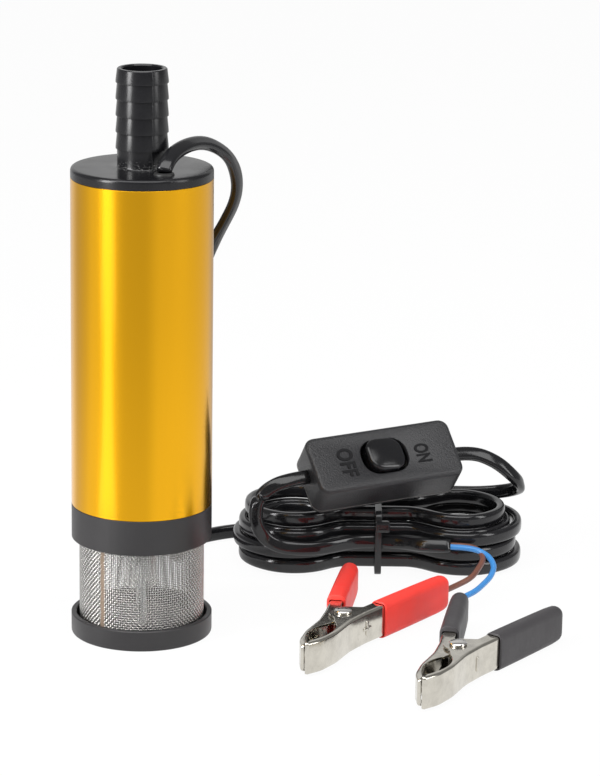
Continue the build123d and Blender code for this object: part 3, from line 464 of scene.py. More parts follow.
def add_rings(mesh, rings, closed=False):
    """Join rings of points with quads; the points of a ring always form a closed loop."""
    made = [[mesh.verts.new(point) for point in ring] for ring in rings]
    pairs = list(zip(made, made[1:])) + ([(made[-1], made[0])] if closed else [])
    for first, second in pairs:
        for k in range(len(first)):
            after = (k + 1) % len(first)
            mesh.faces.new((first[k], first[after], second[after], second[k]))
    return made


# %% Flat tube


def wide_ways(path, keys):
    """Which way the flat lead's wide side lies at each point, blended between the keys."""
    marks = []
    for spot, way in keys:
        spot = Vector(spot) * MM
        nearest = min(range(len(path)), key=lambda k: (path[k] - spot).length_squared)
        marks.append((nearest, Vector(way).normalized()))
    marks.sort(key=lambda mark: mark[0])
    ways = []
    for k in range(len(path)):
        before = ([mark for mark in marks if mark[0] <= k] or marks[:1])[-1]
        after = ([mark for mark in marks if mark[0] >= k] or marks[-1:])[0]
        reach = max(1, after[0] - before[0])
        share = min(1.0, max(0.0, (k - before[0]) / reach))
        ways.append(before[1].lerp(after[1], share * share * (3 - 2 * share)))
    return ways


def flat_section(width, thickness, sides=24, square=3.2):
    """Outline of the lead: wide with rounded ends, fuller at its corners than an ellipse."""
    outline = []
    for k in range(sides):
        angle = tau * k / sides
        c, s = cos(angle), sin(angle)
        size = (abs(c) ** square + abs(s) ** square) ** (-1 / square)
        outline.append((width / 2 * size * c, thickness / 2 * size * s))
    return outline


def flat_tube(name, path, keys, section, material):
    """A tube with a flat section along a path, closed at both ends."""
    rings = []
    for k, (point, way) in enumerate(zip(path, wide_ways(path, keys))):
        ahead = path[min(k + 1, len(path) - 1)]
        behind = path[max(k - 1, 0)]
        along = (ahead - behind).normalized()
        wide = (way - along * way.dot(along)).normalized()
        thin = along.cross(wide)
        rings.append([point + wide * u + thin * v for u, v in section])
    mesh = bmesh.new()
    made = add_rings(mesh, rings)
    mesh.faces.new(list(reversed(made[0])))
    mesh.faces.new(made[-1])
    return new_piece(name, mesh, material)


def length_of(path):
    """Length of a path of points."""
    return sum((b - a).length for a, b in zip(path, path[1:]))


# %% [markdown]
# The sheath is glossy black PVC. It is never quite smooth: long shallow ripples come from
# the extruder, and handling leaves duller patches, so the gloss varies a little.

# %% Sheath finishes


def sheath(name, color, gloss, ripple=0.00006):
    """Soft PVC: glossy, with shallow ripples and slightly duller patches."""
    finish = Finish(name, color, gloss, Specular_IOR_Level=0.5)
    patches = finish.ramp(finish.noise(90, 3), (0.3, gloss * 0.8), (0.7, gloss * 1.35))
    tone = finish.blend(finish.noise(60, 2), color, [min(1, c * 1.35 + 0.004) for c in color])
    return finish.done(tone, patches, finish.bump(finish.noise(160, 3), ripple))


black_sheath = sheath("black_sheath", (0.006, 0.006, 0.007), 0.13)
brown_sheath = sheath("brown_sheath", (0.14, 0.055, 0.035), 0.32, 0.00002)
blue_sheath = sheath("blue_sheath", (0.035, 0.19, 0.47), 0.30, 0.00002)

# %% The leads
up = (0, 0, 1)
lead_keys = [
    ((8.4, -14.6, 174.5), (-0.8, 0.2, 0.2)),
    ((14.0, -3.0, 180.0), (-0.75, 0.45, 0.45)),
    ((24.0, 14.0, 178.5), (-0.35, 0.75, 0.55)),
    ((32.7, 27.0, 164.0), (0.35, 0.85, 0.3)),
    ((29.0, 32.0, 147.0), (0.5, 0.85, 0.1)),
    ((20.0, 33.6, 126.0), (0.8, 0.5, 0.1)),
    ((17.0, 33.0, 95.0), (1.0, 0.2, 0.0)),
    ((11.0, 50.0, 18.0), (1.0, 0.1, 0.2)),
    ((15.0, 99.0, 2.8), (0.0, 0.0, 1.0)),
    ((41.0, 110.75, 4.0), up),
    ((119.0, 106.25, 21.55), up),
    ((143.0, 98.0, 26.0), (-0.2, 0.3, 1.0)),
    (switch_right + stub * 0.8, switch_across),
]
battery_keys = [
    (switch_left - stub * 0.8, switch_across),
    ((46.0, 59.0, 37.0), (-0.2, 0.3, 1.0)),
    ((41.5, 57.0, 27.0), (1.0, -0.4, 0.2)),
    ((49.0, 57.2, 14.2), (-0.1, 0.3, 1.0)),
    ((68.0, 61.0, 12.6), up),
    ((115.5, 58.5, 14.6), (0.0, 0.5, 0.85)),
]
section = flat_section(cable_width * MM, cable_thickness * MM)
lead_path = read_line("lead_line", lead_points)
battery_path = read_line("battery_line", battery_points)
pump_lead = flat_tube("pump_lead", lead_path, lead_keys, section, black_sheath)
battery_lead = flat_tube("battery_lead", battery_path, battery_keys, section, black_sheath)
print("lead length in m:", round(length_of(lead_path), 3), "to the clips:", round(length_of(battery_path), 3))


def core_line(name, points, material):
    """One round insulated core as a bevelled curve."""
    core = smooth_line(name, points, 12)
    core.data.bevel_depth = core_diameter / 2 * MM
    core.data.bevel_resolution = 5
    core.data.use_fill_caps = True
    core.data.materials.append(material)
    return core


brown_wire = core_line("brown_wire", brown_points, brown_sheath)
blue_wire = core_line("blue_wire", blue_points, blue_sheath)
belong([pump_lead], "pump", "cable_pvc", "pump_cable", "cable_hank", "switch_cable")
belong([battery_lead], "pump", "cable_pvc", "battery_cable")
belong([brown_wire], "pump", "brown_core", "brown_core")
belong([blue_wire], "pump", "blue_core", "blue_core")

# %% [markdown]
# The tube, the cap with its tail, the collar, the dish and the gland are all turned shapes.
# Each is one outline, with its corners softened a little so that they catch the light,
# spun round the pump's axis. A moulding also has a fine parting line where its two mould
# halves met, made by lifting one column of points by less than a tenth of a millimetre.

# %% Turning helpers


def soften(points, radius, steps=4):
    """Round the inner corners of a line of (x, y) points; one radius, or one for each corner."""
    corners = [Vector(point) for point in points]
    radii = radius if hasattr(radius, "__len__") else [radius] * (len(corners) - 2)
    line = [corners[0]]
    for before, corner, after, size in zip(corners, corners[1:], corners[2:], radii):
        into, out = before - corner, after - corner
        half = into.angle(out) / 2
        cut = min(size / max(0.05, abs(sin(half) / cos(half))), 0.48 * into.length, 0.48 * out.length)
        start = corner + into.normalized() * cut
        end = corner + out.normalized() * cut
        for step in range(steps + 1):
            share = step / steps
            line.append(start.lerp(corner, share).lerp(corner.lerp(end, share), share))
    line.append(corners[-1])
    return [tuple(point) for point in line]


def lofted(name, rings, material, closed=False, capped=True, sharp=32):
    """Skin rings of points in metres; an open pile gets flat ends, and edges past an angle are sharp."""
    mesh = bmesh.new()
    made = add_rings(mesh, rings, closed)
    if capped and not closed:
        mesh.faces.new(made[0])
        mesh.faces.new(made[-1])
    bmesh.ops.recalc_face_normals(mesh, faces=mesh.faces)
    piece = new_piece(name, mesh, material)
    piece.data.set_sharp_from_angle(angle=radians(sharp))
    return piece


def turned(name, outline, material, centre=(0.0, 0.0), sides=192, seams=(), seam_height=0.0):
    """Spin a closed outline of (radius, height) points in mm; seams are angles of parting lines."""
    columns = {round(seam / 360 * sides) % sides for seam in seams}
    rings = []
    for radius, height in outline:
        ring = []
        for k in range(sides):
            reach = radius + (seam_height if k in columns else 0)
            angle = tau * k / sides
            ring.append((centre[0] + reach * cos(angle), centre[1] + reach * sin(angle), height))
        rings.append(metres(ring))
    return lofted(name, rings, material, closed=True)


# %% [markdown]
# The tube is gold anodised aluminium: a satin metal under a thin clear layer, drawn through
# a die, so that its grain runs lengthwise. The mouldings are black plastic. The cap is
# glossy and has picked up pale scuffs round the root of its tail; the collar and the dish
# come from a matt mould.

# %% Anodised finish
gold_color = (0.92, 0.46, 0.004)


def gold_anodised():
    """Satin gold aluminium with a faint lengthwise grain and slow changes of tone."""
    coat = {"Coat_Weight": 0.25, "Coat_Roughness": 0.1, "Coat_IOR": 1.5}
    finish = Finish("gold_anodised", gold_color, 0.22, 1.0, **coat)
    grain = finish.noise(2600, 2, stretch=(1, 1, 0.006))
    tone = finish.blend(finish.noise(14, 2), gold_color, [c * 0.95 for c in gold_color])
    return finish.done(tone, finish.ramp(grain, (0.3, 0.20), (0.7, 0.24)), finish.bump(grain, 0.0000006))


gold = gold_anodised()

# %% Moulded finishes
scuff_height = 0.1745
scuff_reach = 0.0022
scuff_radius = 0.0118
scuff_grey = (0.32, 0.32, 0.31)


def scuffs(finish):
    """Share of pale scuffs: specks round one height, only near the pump's axis."""
    x, y, z = finish.split(finish.place)
    reach = finish.sum("SQRT", finish.sum("ADD", finish.sum("POWER", x, 2), finish.sum("POWER", y, 2)))
    around = finish.ramp(finish.sum("MULTIPLY", reach, 1 / scuff_radius), (0.85, 1.0), (1.0, 0.0))
    away = finish.sum("ABSOLUTE", finish.sum("SUBTRACT", z, scuff_height))
    level = finish.ramp(finish.sum("MULTIPLY", away, 1 / scuff_reach), (0.2, 1.0), (1.0, 0.0))
    cloud = finish.noise(900, 6, stretch=(1, 1, 2.5), roughness=0.75)
    specks = finish.ramp(cloud, (0.56, 0.0), (0.68, 1.0))
    return finish.sum("MULTIPLY", finish.sum("MULTIPLY", around, level), specks)


def moulded(name, color, gloss, grain=0.00002, grain_size=2200, scuffed=False, **sockets):
    """Black moulded plastic, rubbed pale at the scuffs if wanted."""
    finish = Finish(name, color, gloss, **sockets)
    patches = finish.noise(70, 3)
    tone = finish.blend(patches, color, [min(1, c * 1.3 + 0.004) for c in color])
    if scuffed:
        tone = finish.blend(scuffs(finish), tone, scuff_grey)
    dull = finish.ramp(patches, (0.3, gloss * 0.85), (0.75, gloss * 1.2))
    return finish.done(tone, dull, finish.bump(finish.noise(grain_size, 2), grain))


cap_black = moulded("cap_black", (0.004, 0.004, 0.005), 0.24, grain=0.000006, scuffed=True,
                    Specular_IOR_Level=0.4)
collar_black = moulded("collar_black", (0.015, 0.014, 0.015), 0.4, grain=0.00001)
gland_black = moulded("gland_black", (0.012, 0.012, 0.012), 0.5)
inner_black = moulded("inner_black", (0.06, 0.06, 0.063), 0.5)

# %% Steel finishes
cloth_radius = 0.0223
# colour of the shade painted on the side of each wire that faces into the strainer
cloth_painted_shade = (0.03, 0.03, 0.03)


def steel(name, color, gloss, grain=1800, stretch=(1, 1, 0.05)):
    """Plain steel with drawn grain and small changes of tone."""
    finish = Finish(name, color, gloss, 1.0)
    lines = finish.noise(grain, 3, stretch=stretch)
    tone = finish.blend(finish.noise(120, 3), color, [c * 0.82 for c in color])
    dull = finish.ramp(lines, (0.3, gloss * 0.75), (0.7, gloss * 1.3))
    return finish.done(tone, dull, finish.bump(lines, 0.000006))


def wire_cloth(name, color, gloss):
    """Bright wire, with painted shade: darker in colour on the side that faces into the strainer."""
    finish = Finish(name, color, gloss, 1.0)
    where = finish.split(finish.place)
    facing = finish.split(finish.node("ShaderNodeNewGeometry", out="Normal"))
    parts = [finish.sum("MULTIPLY", where[axis], facing[axis]) for axis in ("X", "Y")]
    outward = finish.sum("MULTIPLY", finish.sum("ADD", *parts), 1 / cloth_radius)
    # painted shade: the wire's colour turns dark where it faces into the strainer
    tone = finish.blend(finish.ramp(outward, (0.0, 1.0), (0.45, 0.0)), color, cloth_painted_shade)
    return finish.done(tone, finish.ramp(finish.noise(1800, 2), (0.3, gloss * 0.8), (0.7, gloss * 1.25)))


wire_steel = wire_cloth("wire_steel", (0.66, 0.65, 0.63), 0.22)
post_steel = steel("post_steel", (0.80, 0.79, 0.77), 0.28)

# %% Tube and cap
body_radius = 25.5
body_bore = 24.3
body_bottom = 49.1
body_top = 169.3
cap_top = 173.1
tail_top = 208.4
land_radius = 9.4
root_radius = 8.9
barb_tops = [179.7 + 5.9 * step for step in range(5)]
parting = (-64, 116)

tube_outline = [(body_bore, body_bottom), (body_radius - 0.15, body_bottom),
                (body_radius, body_bottom + 0.15), (body_radius, body_top - 0.15),
                (body_radius - 0.15, body_top), (body_bore, body_top)]
tube = turned("gold_tube", tube_outline, gold, sides=256)

outline = [(7.9, 166.7), (7.9, 173.6), (7.2, 173.9), (7.2, tail_top - 0.5), (7.6, tail_top), (8.6, tail_top),
           (root_radius, tail_top - 0.3)]
for top in reversed(barb_tops):
    outline += [(land_radius, top + 0.75), (land_radius, top + 0.1), (land_radius - 0.1, top),
                (root_radius, top)]
outline += soften([(root_radius, 175.0), (root_radius, cap_top), (13.0, cap_top)], 0.7)
outline += soften([(20.0, cap_top), (body_radius, cap_top), (body_radius, 170.0)], 2.2, steps=10)
outline += [(body_radius, body_top + 0.1), (body_radius - 0.1, body_top), (24.2, body_top), (24.2, 157.3),
            (21.6, 157.3), (21.6, 166.7)]
cap = turned("cap_and_tail", outline, cap_black, sides=256, seams=parting, seam_height=0.09)
belong([tube], "pump", "gold_tube", "body_tube")
belong([cap], "pump", "cap_plastic", "top_cap")

# %% Collar, dish and gland
collar_outline = [(22.85, 36.2), (25.2, 36.2), (25.5, 36.5), (25.5, 48.85), (25.3, 49.05), (24.2, 49.05),
                  (24.2, 60.1), (21.8, 60.1), (21.8, 50.0), (19.4, 50.0), (19.4, 48.0), (22.85, 48.0)]
collar = turned("collar", collar_outline, collar_black, seams=(66, 246), seam_height=0.05)

dish_radius = 25.7
foot = soften([(3.0, 0.0), (dish_radius, 0.0), (dish_radius, 5.0)], 1.0, steps=6)
rim = [(dish_radius, 7.35), (dish_radius - 0.25, 7.6), (dish_radius - 1.65, 7.6), (dish_radius - 1.9, 7.35)]
well = soften([(dish_radius - 1.9, 6.0), (dish_radius - 1.9, 2.4), (2.1, 2.4)], 0.6)
dish = turned("dish", foot + rim + well, collar_black, seams=(60, 240), seam_height=0.04)

gland_outline = [(2.3, 172.9), (3.7, 172.9), (3.7, 173.3), (3.55, 173.7), (3.2, 173.95), (2.8, 174.0),
                 (2.3, 174.0)]
gland = turned("gland", gland_outline, gland_black, centre=gland_at, sides=64)
belong([collar], "pump", "collar_plastic", "base_collar")
belong([dish], "pump", "collar_plastic", "strainer_dish")
belong([gland], "pump", "gland_rubber", "cable_gland")

# %% [markdown]
# The strainer is a square weave of steel wire, rolled into a tube. Geometry Nodes repeat
# two wires: a ring that waves in and out goes once to each row, and an upright wire that
# waves the other way goes round the tube, each next one a row out of step, so that they
# pass over and under each other as woven wire does.

# %% Tree of the weave
weave_inputs = {
    "Radius": ("Float", 22.35 * MM),
    "Wire radius": ("Float", 0.215 * MM),
    "Depth": ("Float", 0.19 * MM),
    "Count": ("Int", 160),
    "Rows": ("Int", 50),
    "Low": ("Float", 2.9 * MM),
    "Pitch": ("Float", 0.887 * MM),
}


class Tree(Nodes):
    """A geometry node tree whose inputs have names and set values."""

    def __init__(self, name, inputs):
        super().__init__(bpy.data.node_groups.new(name, "GeometryNodeTree"))
        face = self.tree.interface
        self.values = {}
        for label, (kind, value) in inputs.items():
            socket = face.new_socket(label, in_out="INPUT", socket_type="NodeSocket" + kind)
            self.values[socket.identifier] = value
        face.new_socket("Geometry", in_out="OUTPUT", socket_type="NodeSocketGeometry")
        self.inputs = self.add("NodeGroupInput").outputs

    def vector(self, x=0.0, z=0.0):
        """A vector from its parts."""
        return self.node("ShaderNodeCombineXYZ", {"X": x, "Z": z})

    def shifted(self, geometry, offset):
        """Points moved by an offset."""
        return self.node("GeometryNodeSetPosition", {"Geometry": geometry, "Offset": offset})

    def wave(self, sign):
        """Offset of a wire's points: out, level, in, level and so on."""
        swing = self.sum("COSINE", self.sum("MULTIPLY", self.node("GeometryNodeInputIndex"), pi / 2))
        return self.sum("MULTIPLY", self.sum("MULTIPLY", swing, self.inputs["Depth"]), sign)

    def stand(self, points, curve, turn):
        """A thin wire along a curve, set on each point and turned round the upright axis."""
        thin = {"Resolution": 4, "Radius": self.inputs["Wire radius"]}
        section = self.node("GeometryNodeCurvePrimitiveCircle", thin)
        wire = self.node("GeometryNodeCurveToMesh", {"Curve": curve, "Profile Curve": section})
        inputs = {"Points": points, "Instance": wire, "Rotation": self.vector(z=turn)}
        return self.node("GeometryNodeInstanceOnPoints", inputs)

    def make(self, name, instances, material):
        """Realize the instances, set their material and keep what comes out as a smooth piece."""
        solid = self.node("GeometryNodeRealizeInstances", {"Geometry": instances})
        dressed = self.node("GeometryNodeSetMaterial", {"Geometry": solid, "Material": material})
        self.add("NodeGroupOutput", {"Geometry": dressed})
        carrier = linked(name + "_carrier", bpy.data.meshes.new(name + "_carrier"))
        modifier = carrier.modifiers.new("weave", "NODES")
        modifier.node_group = self.tree
        for identifier, value in self.values.items():
            modifier[identifier] = value
        bpy.context.view_layer.update()
        ready = carrier.evaluated_get(bpy.context.evaluated_depsgraph_get())
        mesh = bpy.data.meshes.new_from_object(ready)
        carrier.modifiers.remove(modifier)
        bpy.data.objects.remove(carrier)
        mesh.materials.clear()
        return new_piece(name, mesh, material)


# %% Weft and warp
weave_names = ("Radius", "Count", "Rows", "Low", "Pitch")


def weft_wires():
    """Waving rings, one to a row."""
    tree = Tree("weft", weave_inputs)
    radius, count, rows, low, pitch = [tree.inputs[name] for name in weave_names]
    circle = {"Resolution": tree.sum("MULTIPLY", count, 2.0), "Radius": radius}
    ring = tree.node("GeometryNodeCurvePrimitiveCircle", circle)
    place = tree.node("GeometryNodeInputPosition")
    out = tree.node("ShaderNodeVectorMath", {0: place}, operation="NORMALIZE")
    shift = tree.node("ShaderNodeVectorMath", {0: out, "Scale": tree.wave(1.0)}, operation="SCALE")
    line = {"Count": rows, "Start Location": tree.vector(z=low), "Offset": tree.vector(z=pitch)}
    spots = tree.node("GeometryNodeMeshLine", line)
    odd = tree.sum("MODULO", tree.node("GeometryNodeInputIndex"), 2.0)
    turn = tree.sum("MULTIPLY", odd, tree.sum("DIVIDE", tau, count))
    return tree.make("mesh_weft", tree.stand(spots, tree.shifted(ring, shift), turn), wire_steel)


def warp_wires():
    """Upright waving wires round the tube, every other one a row higher."""
    tree = Tree("warp", weave_inputs)
    radius, count, rows, low, pitch = [tree.inputs[name] for name in weave_names]
    top = tree.sum("ADD", low, tree.sum("MULTIPLY", tree.sum("SUBTRACT", rows, 1.0), pitch))
    ends = {"Start": tree.vector(radius, low), "End": tree.vector(radius, top)}
    line = tree.node("GeometryNodeCurvePrimitiveLine", ends)
    points = tree.sum("SUBTRACT", tree.sum("MULTIPLY", rows, 2.0), 1.0)
    knots = tree.node("GeometryNodeResampleCurve", {"Curve": line, "Count": points})
    index = tree.node("GeometryNodeInputIndex")
    raised = tree.vector(z=tree.sum("MULTIPLY", tree.sum("MODULO", index, 2.0), pitch))
    turns = tree.node("GeometryNodeMeshLine", {"Count": count})
    spots = tree.node("GeometryNodeSetPosition", {"Geometry": turns, "Position": raised})
    turn = tree.sum("MULTIPLY", index, tree.sum("DIVIDE", tau, count))
    waved = tree.shifted(knots, tree.vector(tree.wave(-1.0)))
    return tree.make("mesh_warp", tree.stand(spots, waved, turn), wire_steel)


weft = weft_wires()
warp = warp_wires()

# %% Seam of the strainer
seam_angle = radians(-126)
seam_width = 2.2
seam_low = 2.6
seam_high = 47.0
seam_steps = 40
seam_section = ((-1, 22.45), (-0.6, 22.68), (0, 22.72), (0.6, 22.68), (1, 22.45), (0, 22.4))
seam_color = (0.13, 0.085, 0.055)


def seam_steel():
    """Dull stained steel, rough from the threads under it."""
    finish = Finish("seam_steel", seam_color, 0.55, 0.35)
    threads = finish.ramp(finish.noise(1500, 3, stretch=(1, 1, 1.6)), (0.35, 0.35), (0.65, 0.6))
    tone = finish.blend(finish.noise(1100, 3), seam_color, (0.30, 0.23, 0.17))
    return finish.done(tone, threads, finish.bump(finish.noise(1300, 2), 0.00012))


def seam_strip():
    """The lapped seam: a thin curved strip down the outside of the weave."""
    rings = []
    for step in range(seam_steps + 1):
        height = seam_low + (seam_high - seam_low) * step / seam_steps
        sway = 0.12 * sin(step * 0.9)
        ring = []
        for edge, radius in seam_section:
            angle = seam_angle + (edge * seam_width / 2 + sway) / radius
            ring.append((radius * cos(angle), radius * sin(angle), height))
        rings.append(metres(ring))
    return lofted("mesh_seam", rings, seam_steel(), capped=False, sharp=60)


belong([weft, warp, seam_strip()], "pump", "steel_mesh", "strainer_mesh")

# %% [markdown]
# The switch, the tie, the sleeves and the rocker are stacks: rounded rectangles piled along
# one direction, each a little larger or smaller than the last, and skinned with quads. A
# pile that turns in on itself makes a shell with a window in it.

# %% Stacking helpers


def rounded_loop(width, depth, corner, steps=6):
    """Points of a rounded rectangle round the origin, anticlockwise."""
    corner = max(0.02, min(corner, width / 2 - 0.01, depth / 2 - 0.01))
    loop = []
    for quarter in range(4):
        middle_x = (width / 2 - corner) * (1 if quarter in (0, 3) else -1)
        middle_y = (depth / 2 - corner) * (1 if quarter < 2 else -1)
        for step in range(steps + 1):
            angle = pi / 2 * (quarter + step / steps)
            loop.append((middle_x + corner * cos(angle), middle_y + corner * sin(angle)))
    return loop


def stacked(name, origin, axes, levels, material, closed=False, sharp=32):
    """Rounded rectangles of (width, depth, corner, height) in mm, piled along the third axis."""
    wide, deep, rise = axes
    rings = []
    for width, depth, corner, height in levels:
        loop = rounded_loop(width, depth, corner)
        rings.append(metres(Vector(origin) + wide * u + deep * v + rise * height for u, v in loop))
    return lofted(name, rings, material, closed=closed, sharp=sharp)


def rounded_top(width, depth, corner, top, radius, steps=6):
    """Levels that round over the top edge of a stack."""
    levels = []
    for step in range(steps + 1):
        angle = pi / 2 * step / steps
        inset = radius * (1 - cos(angle))
        lift = top - radius + radius * sin(angle)
        levels.append((width - 2 * inset, depth - 2 * inset, max(0.5, corner - inset), lift))
    return levels


# %% [markdown]
# The inline switch lies tilted on the hank. Its cover has a finely spark-eroded face and
# the base leaves a thin raised line of flash at the joint, coloured pale grey as a painted
# highlight. The rocker is polished, stands at an angle with its right end pressed, and turns
# about its pin. The words beside it are raised and rubbed smooth on top.

# %% Inline switch


def spark_grain(name, color, gloss, depth):
    """Plastic from a spark-eroded mould: a fine sandy grain."""
    finish = Finish(name, color, gloss)
    patches = finish.noise(60, 3)
    tone = finish.blend(patches, color, [c * 1.25 for c in color])
    dull = finish.ramp(patches, (0.3, gloss * 0.9), (0.7, gloss * 1.15))
    return finish.done(tone, dull, finish.bump(finish.noise(1500, 2, roughness=0.6), depth))


switch_black = spark_grain("switch_black", (0.019, 0.019, 0.021), 0.38, 0.00022)
rocker_black = moulded("rocker_black", (0.005, 0.005, 0.006), 0.17, grain=0.00001, grain_size=700)
letter_black = moulded("letter_black", (0.003, 0.003, 0.004), 0.45, Specular_IOR_Level=0.2)
# the flash's pale grey is a painted highlight along the joint of cover and base
flash_grey = moulded("flash_grey", (0.16, 0.155, 0.15), 0.35)

switch_length = 60.0
switch_width = 25.0
switch_top = 7.75
switch_joint = -6.05
switch_back = -7.75
window_low = 5.95
pivot_height = 4.25
rocker_tilt = radians(8)
switch_axes = (switch_along, switch_across, switch_out)


def shell(*levels):
    """Levels of the switch's outline, each given as (how far it is drawn in, corner, height)."""
    return [(switch_length - inset, switch_width - inset, corner, height) for inset, corner, height in levels]


cover_levels = shell((0.6, 3.7, switch_joint), (0.0, 4.0, switch_joint + 0.3))
cover_levels += rounded_top(switch_length, switch_width, 4.0, switch_top, 1.6)
cover_levels += shell((3.8, 2.2, switch_top))
cover_levels += [(19.7, 15.7, 6.4, switch_top), (19.1, 15.1, 6.2, 7.6), (18.7, 14.8, 6.0, 7.2),
                 (18.7, 14.8, 6.0, window_low), (21.0, 17.0, 6.5, window_low)]
cover_levels += shell((3.6, 2.2, window_low), (3.6, 2.2, switch_joint))
cover = stacked("switch_shell", switch_at, switch_axes, cover_levels, switch_black, closed=True, sharp=40)
base_levels = shell((1.2, 3.4, switch_back), (0.0, 4.0, switch_back + 0.6), (0.0, 4.0, -6.3),
                    (0.6, 3.7, -6.12), (0.6, 3.7, switch_joint))
base = stacked("switch_back", switch_at, switch_axes, base_levels, switch_black, sharp=40)
# a raised line of flash at the joint, coloured pale grey as a painted highlight
flash_levels = shell((0.4, 3.8, -6.2), (-0.16, 4.05, -6.12), (-0.16, 4.05, -6.06), (0.4, 3.8, -6.0))
flash = stacked("switch_flash", switch_at, switch_axes, flash_levels, flash_grey)

# %% Rocker
rocker_way = switch_along * cos(rocker_tilt) - switch_out * sin(rocker_tilt)
rocker_rise = switch_out * cos(rocker_tilt) + switch_along * sin(rocker_tilt)
rocker_axes = (rocker_way, switch_across, rocker_rise - rocker_way * 0.15)
rocker_levels = [(3.0, 13.6, 0.6, -5.1), (8.4, 13.8, 0.8, -3.1), (15.4, 13.9, 3.0, -1.0),
                 (15.8, 14.0, 4.6, 0.0), (15.7, 14.0, 5.4, 3.6)]
rocker_levels += rounded_top(15.7, 14.0, 5.4, 5.7, 1.3)
for step in range(1, 9):
    share = 1 - step / 8.4
    rocker_levels.append((13.1 * share, 11.4 * share, 4.1 * share, 5.7 + 0.6 * (1 - share * share)))
rocker_spot = switch_at + switch_out * pivot_height
rocker = stacked("rocker_button", rocker_spot, rocker_axes, rocker_levels, rocker_black, sharp=50)

# %% Words on the switch
word_sunk = 0.2
word_height = 0.42


def switch_word(word, low_x, high_x, from_y, to_y):
    """A raised word across the switch, fitted between two lines and two ends in mm."""
    letters = bpy.data.curves.new("word_" + word, "FONT")
    letters.body = word
    letters.size = 1.0
    letters.offset = 0.024
    letters.space_character = 1.06
    letters.extrude = 0.012
    letters.bevel_depth = 0.008
    letters.bevel_resolution = 1
    mesh = mesh_of(linked("word_" + word, letters))
    spots = [vert.co.copy() for vert in mesh.vertices]
    low, high = [[pick(spot[k] for spot in spots) for k in range(3)] for pick in (min, max)]
    for vert, spot in zip(mesh.vertices, spots):
        u, v, w = [(spot[k] - low[k]) / (high[k] - low[k]) for k in range(3)]
        along = low_x + (high_x - low_x) * v
        across = from_y + (to_y - from_y) * u
        out = switch_top - word_sunk + word_height * w
        vert.co = (switch_at + (switch_along * along + switch_across * across + switch_out * out)) * MM
    mesh.materials.clear()
    return new_piece("word_" + word.lower(), mesh, letter_black, smooth=False)


words = [switch_word("OFF", -19.1, -12.6, 5.6, -6.8), switch_word("ON", 12.4, 18.4, 2.8, -5.3)]
belong([cover, *words], "pump", "switch_plastic", "switch_cover")
belong([base, flash], "pump", "switch_plastic", "switch_base")
belong([rocker], "rocker", "rocker_plastic", "switch_rocker")

# %% [markdown]
# A cable tie holds the hank at its waist: one closed nylon band with a square head. A curve
# with a bevel would make the band round, so a flat section is carried round a rounded
# rectangle instead. The head is one more small stack.

# %% Cable tie
tie_x = 88.0
tie_width = 2.6
tie_thickness = 1.1
tie_middle = (84.225, 12.775)


def tie_band():
    """A band of rounded section that follows a rounded rectangle across the hank."""
    loop = [Vector(spot) for spot in rounded_loop(38.15, 24.45, 2.5, 8)]
    rings = []
    for k, spot in enumerate(loop):
        run = (loop[(k + 1) % len(loop)] - loop[k - 1]).normalized()
        out = Vector((run.y, -run.x))
        section = [(u, spot + out * v) for u, v in rounded_loop(tie_width, tie_thickness, 0.35, 3)]
        ring = [(tie_x + u, tie_middle[0] + flat.x, tie_middle[1] + flat.y) for u, flat in section]
        rings.append(metres(ring))
    return lofted("tie_band", rings, tie_black, closed=True)


tie_black = moulded("tie_black", (0.008, 0.008, 0.009), 0.2, grain=0.00001)
band = tie_band()
head_levels = [(5.2, 4.0, 0.7, 0.0), (5.6, 4.2, 0.8, 0.5), (5.6, 4.2, 0.8, 3.0), (5.2, 3.8, 0.7, 3.5),
               (4.4, 3.0, 0.5, 3.7), (3.0, 1.6, 0.3, 3.7), (2.8, 1.4, 0.3, 3.1)]
head_axes = (Vector((1, 0, 0)), Vector((0, 0, 1)), Vector((0, -1, 0)))
head = stacked("tie_head", (89.5, 65.7, 20.35), head_axes, head_levels, tie_black)
belong([band, head], "pump", "tie_plastic", "cable_tie")

# %% [markdown]
# A battery clip is two steel channels, nickel plated, that share one outline: the back runs
# from the nose to the knee and along the handle, and the side walls are as deep as the
# mouth, the ear and the handle leave them. Walking along the back, a line cast inwards
# finds that depth, and a folded section with round bends is set up at each step. A coil
# spring round the rivet holds the jaws shut and soft sleeves cover the handles.

# %% Clip finishes
nickel_color = (0.66, 0.63, 0.56)


def nickel(name):
    """Nickel plate gone cloudy, with handling marks."""
    finish = Finish(name, nickel_color, 0.17, 1.0)
    clouds = finish.noise(170, 5, roughness=0.65)
    spots = finish.ramp(finish.noise(700, 4), (0.64, 0.0), (0.74, 0.3))
    tone = finish.blend(finish.ramp(clouds, (0.4, 0.0), (0.75, 0.4)), nickel_color, (0.34, 0.32, 0.29))
    tone = finish.blend(spots, tone, (0.24, 0.21, 0.17))
    dull = finish.ramp(clouds, (0.35, 0.13), (0.68, 0.22))
    return finish.done(tone, dull, finish.bump(finish.noise(200, 3), 0.00003))


def soft_sleeve(name, color, gloss):
    """Dipped PVC: soft sheen, a few creases and rubbed patches."""
    finish = Finish(name, color, gloss, Specular_IOR_Level=0.45)
    patches = finish.noise(90, 4)
    tone = finish.blend(patches, [c * 0.86 for c in color], [min(1, c * 1.12) for c in color])
    dull = finish.ramp(patches, (0.3, gloss * 0.85), (0.7, gloss * 1.2))
    creases = finish.bump(finish.noise(110, 2, stretch=(1, 1, 0.4)), 0.00025)
    return finish.done(tone, dull, finish.bump(finish.noise(900, 3), 0.00003, under=creases))


clip_nickel = nickel("clip_nickel")
rivet_steel = steel("rivet_steel", (0.82, 0.80, 0.77), 0.2, grain=500, stretch=(1, 1, 1))
red_pvc = soft_sleeve("red_pvc", (0.82, 0.042, 0.030), 0.45)
dark_pvc = soft_sleeve("dark_pvc", (0.046, 0.043, 0.046), 0.5)

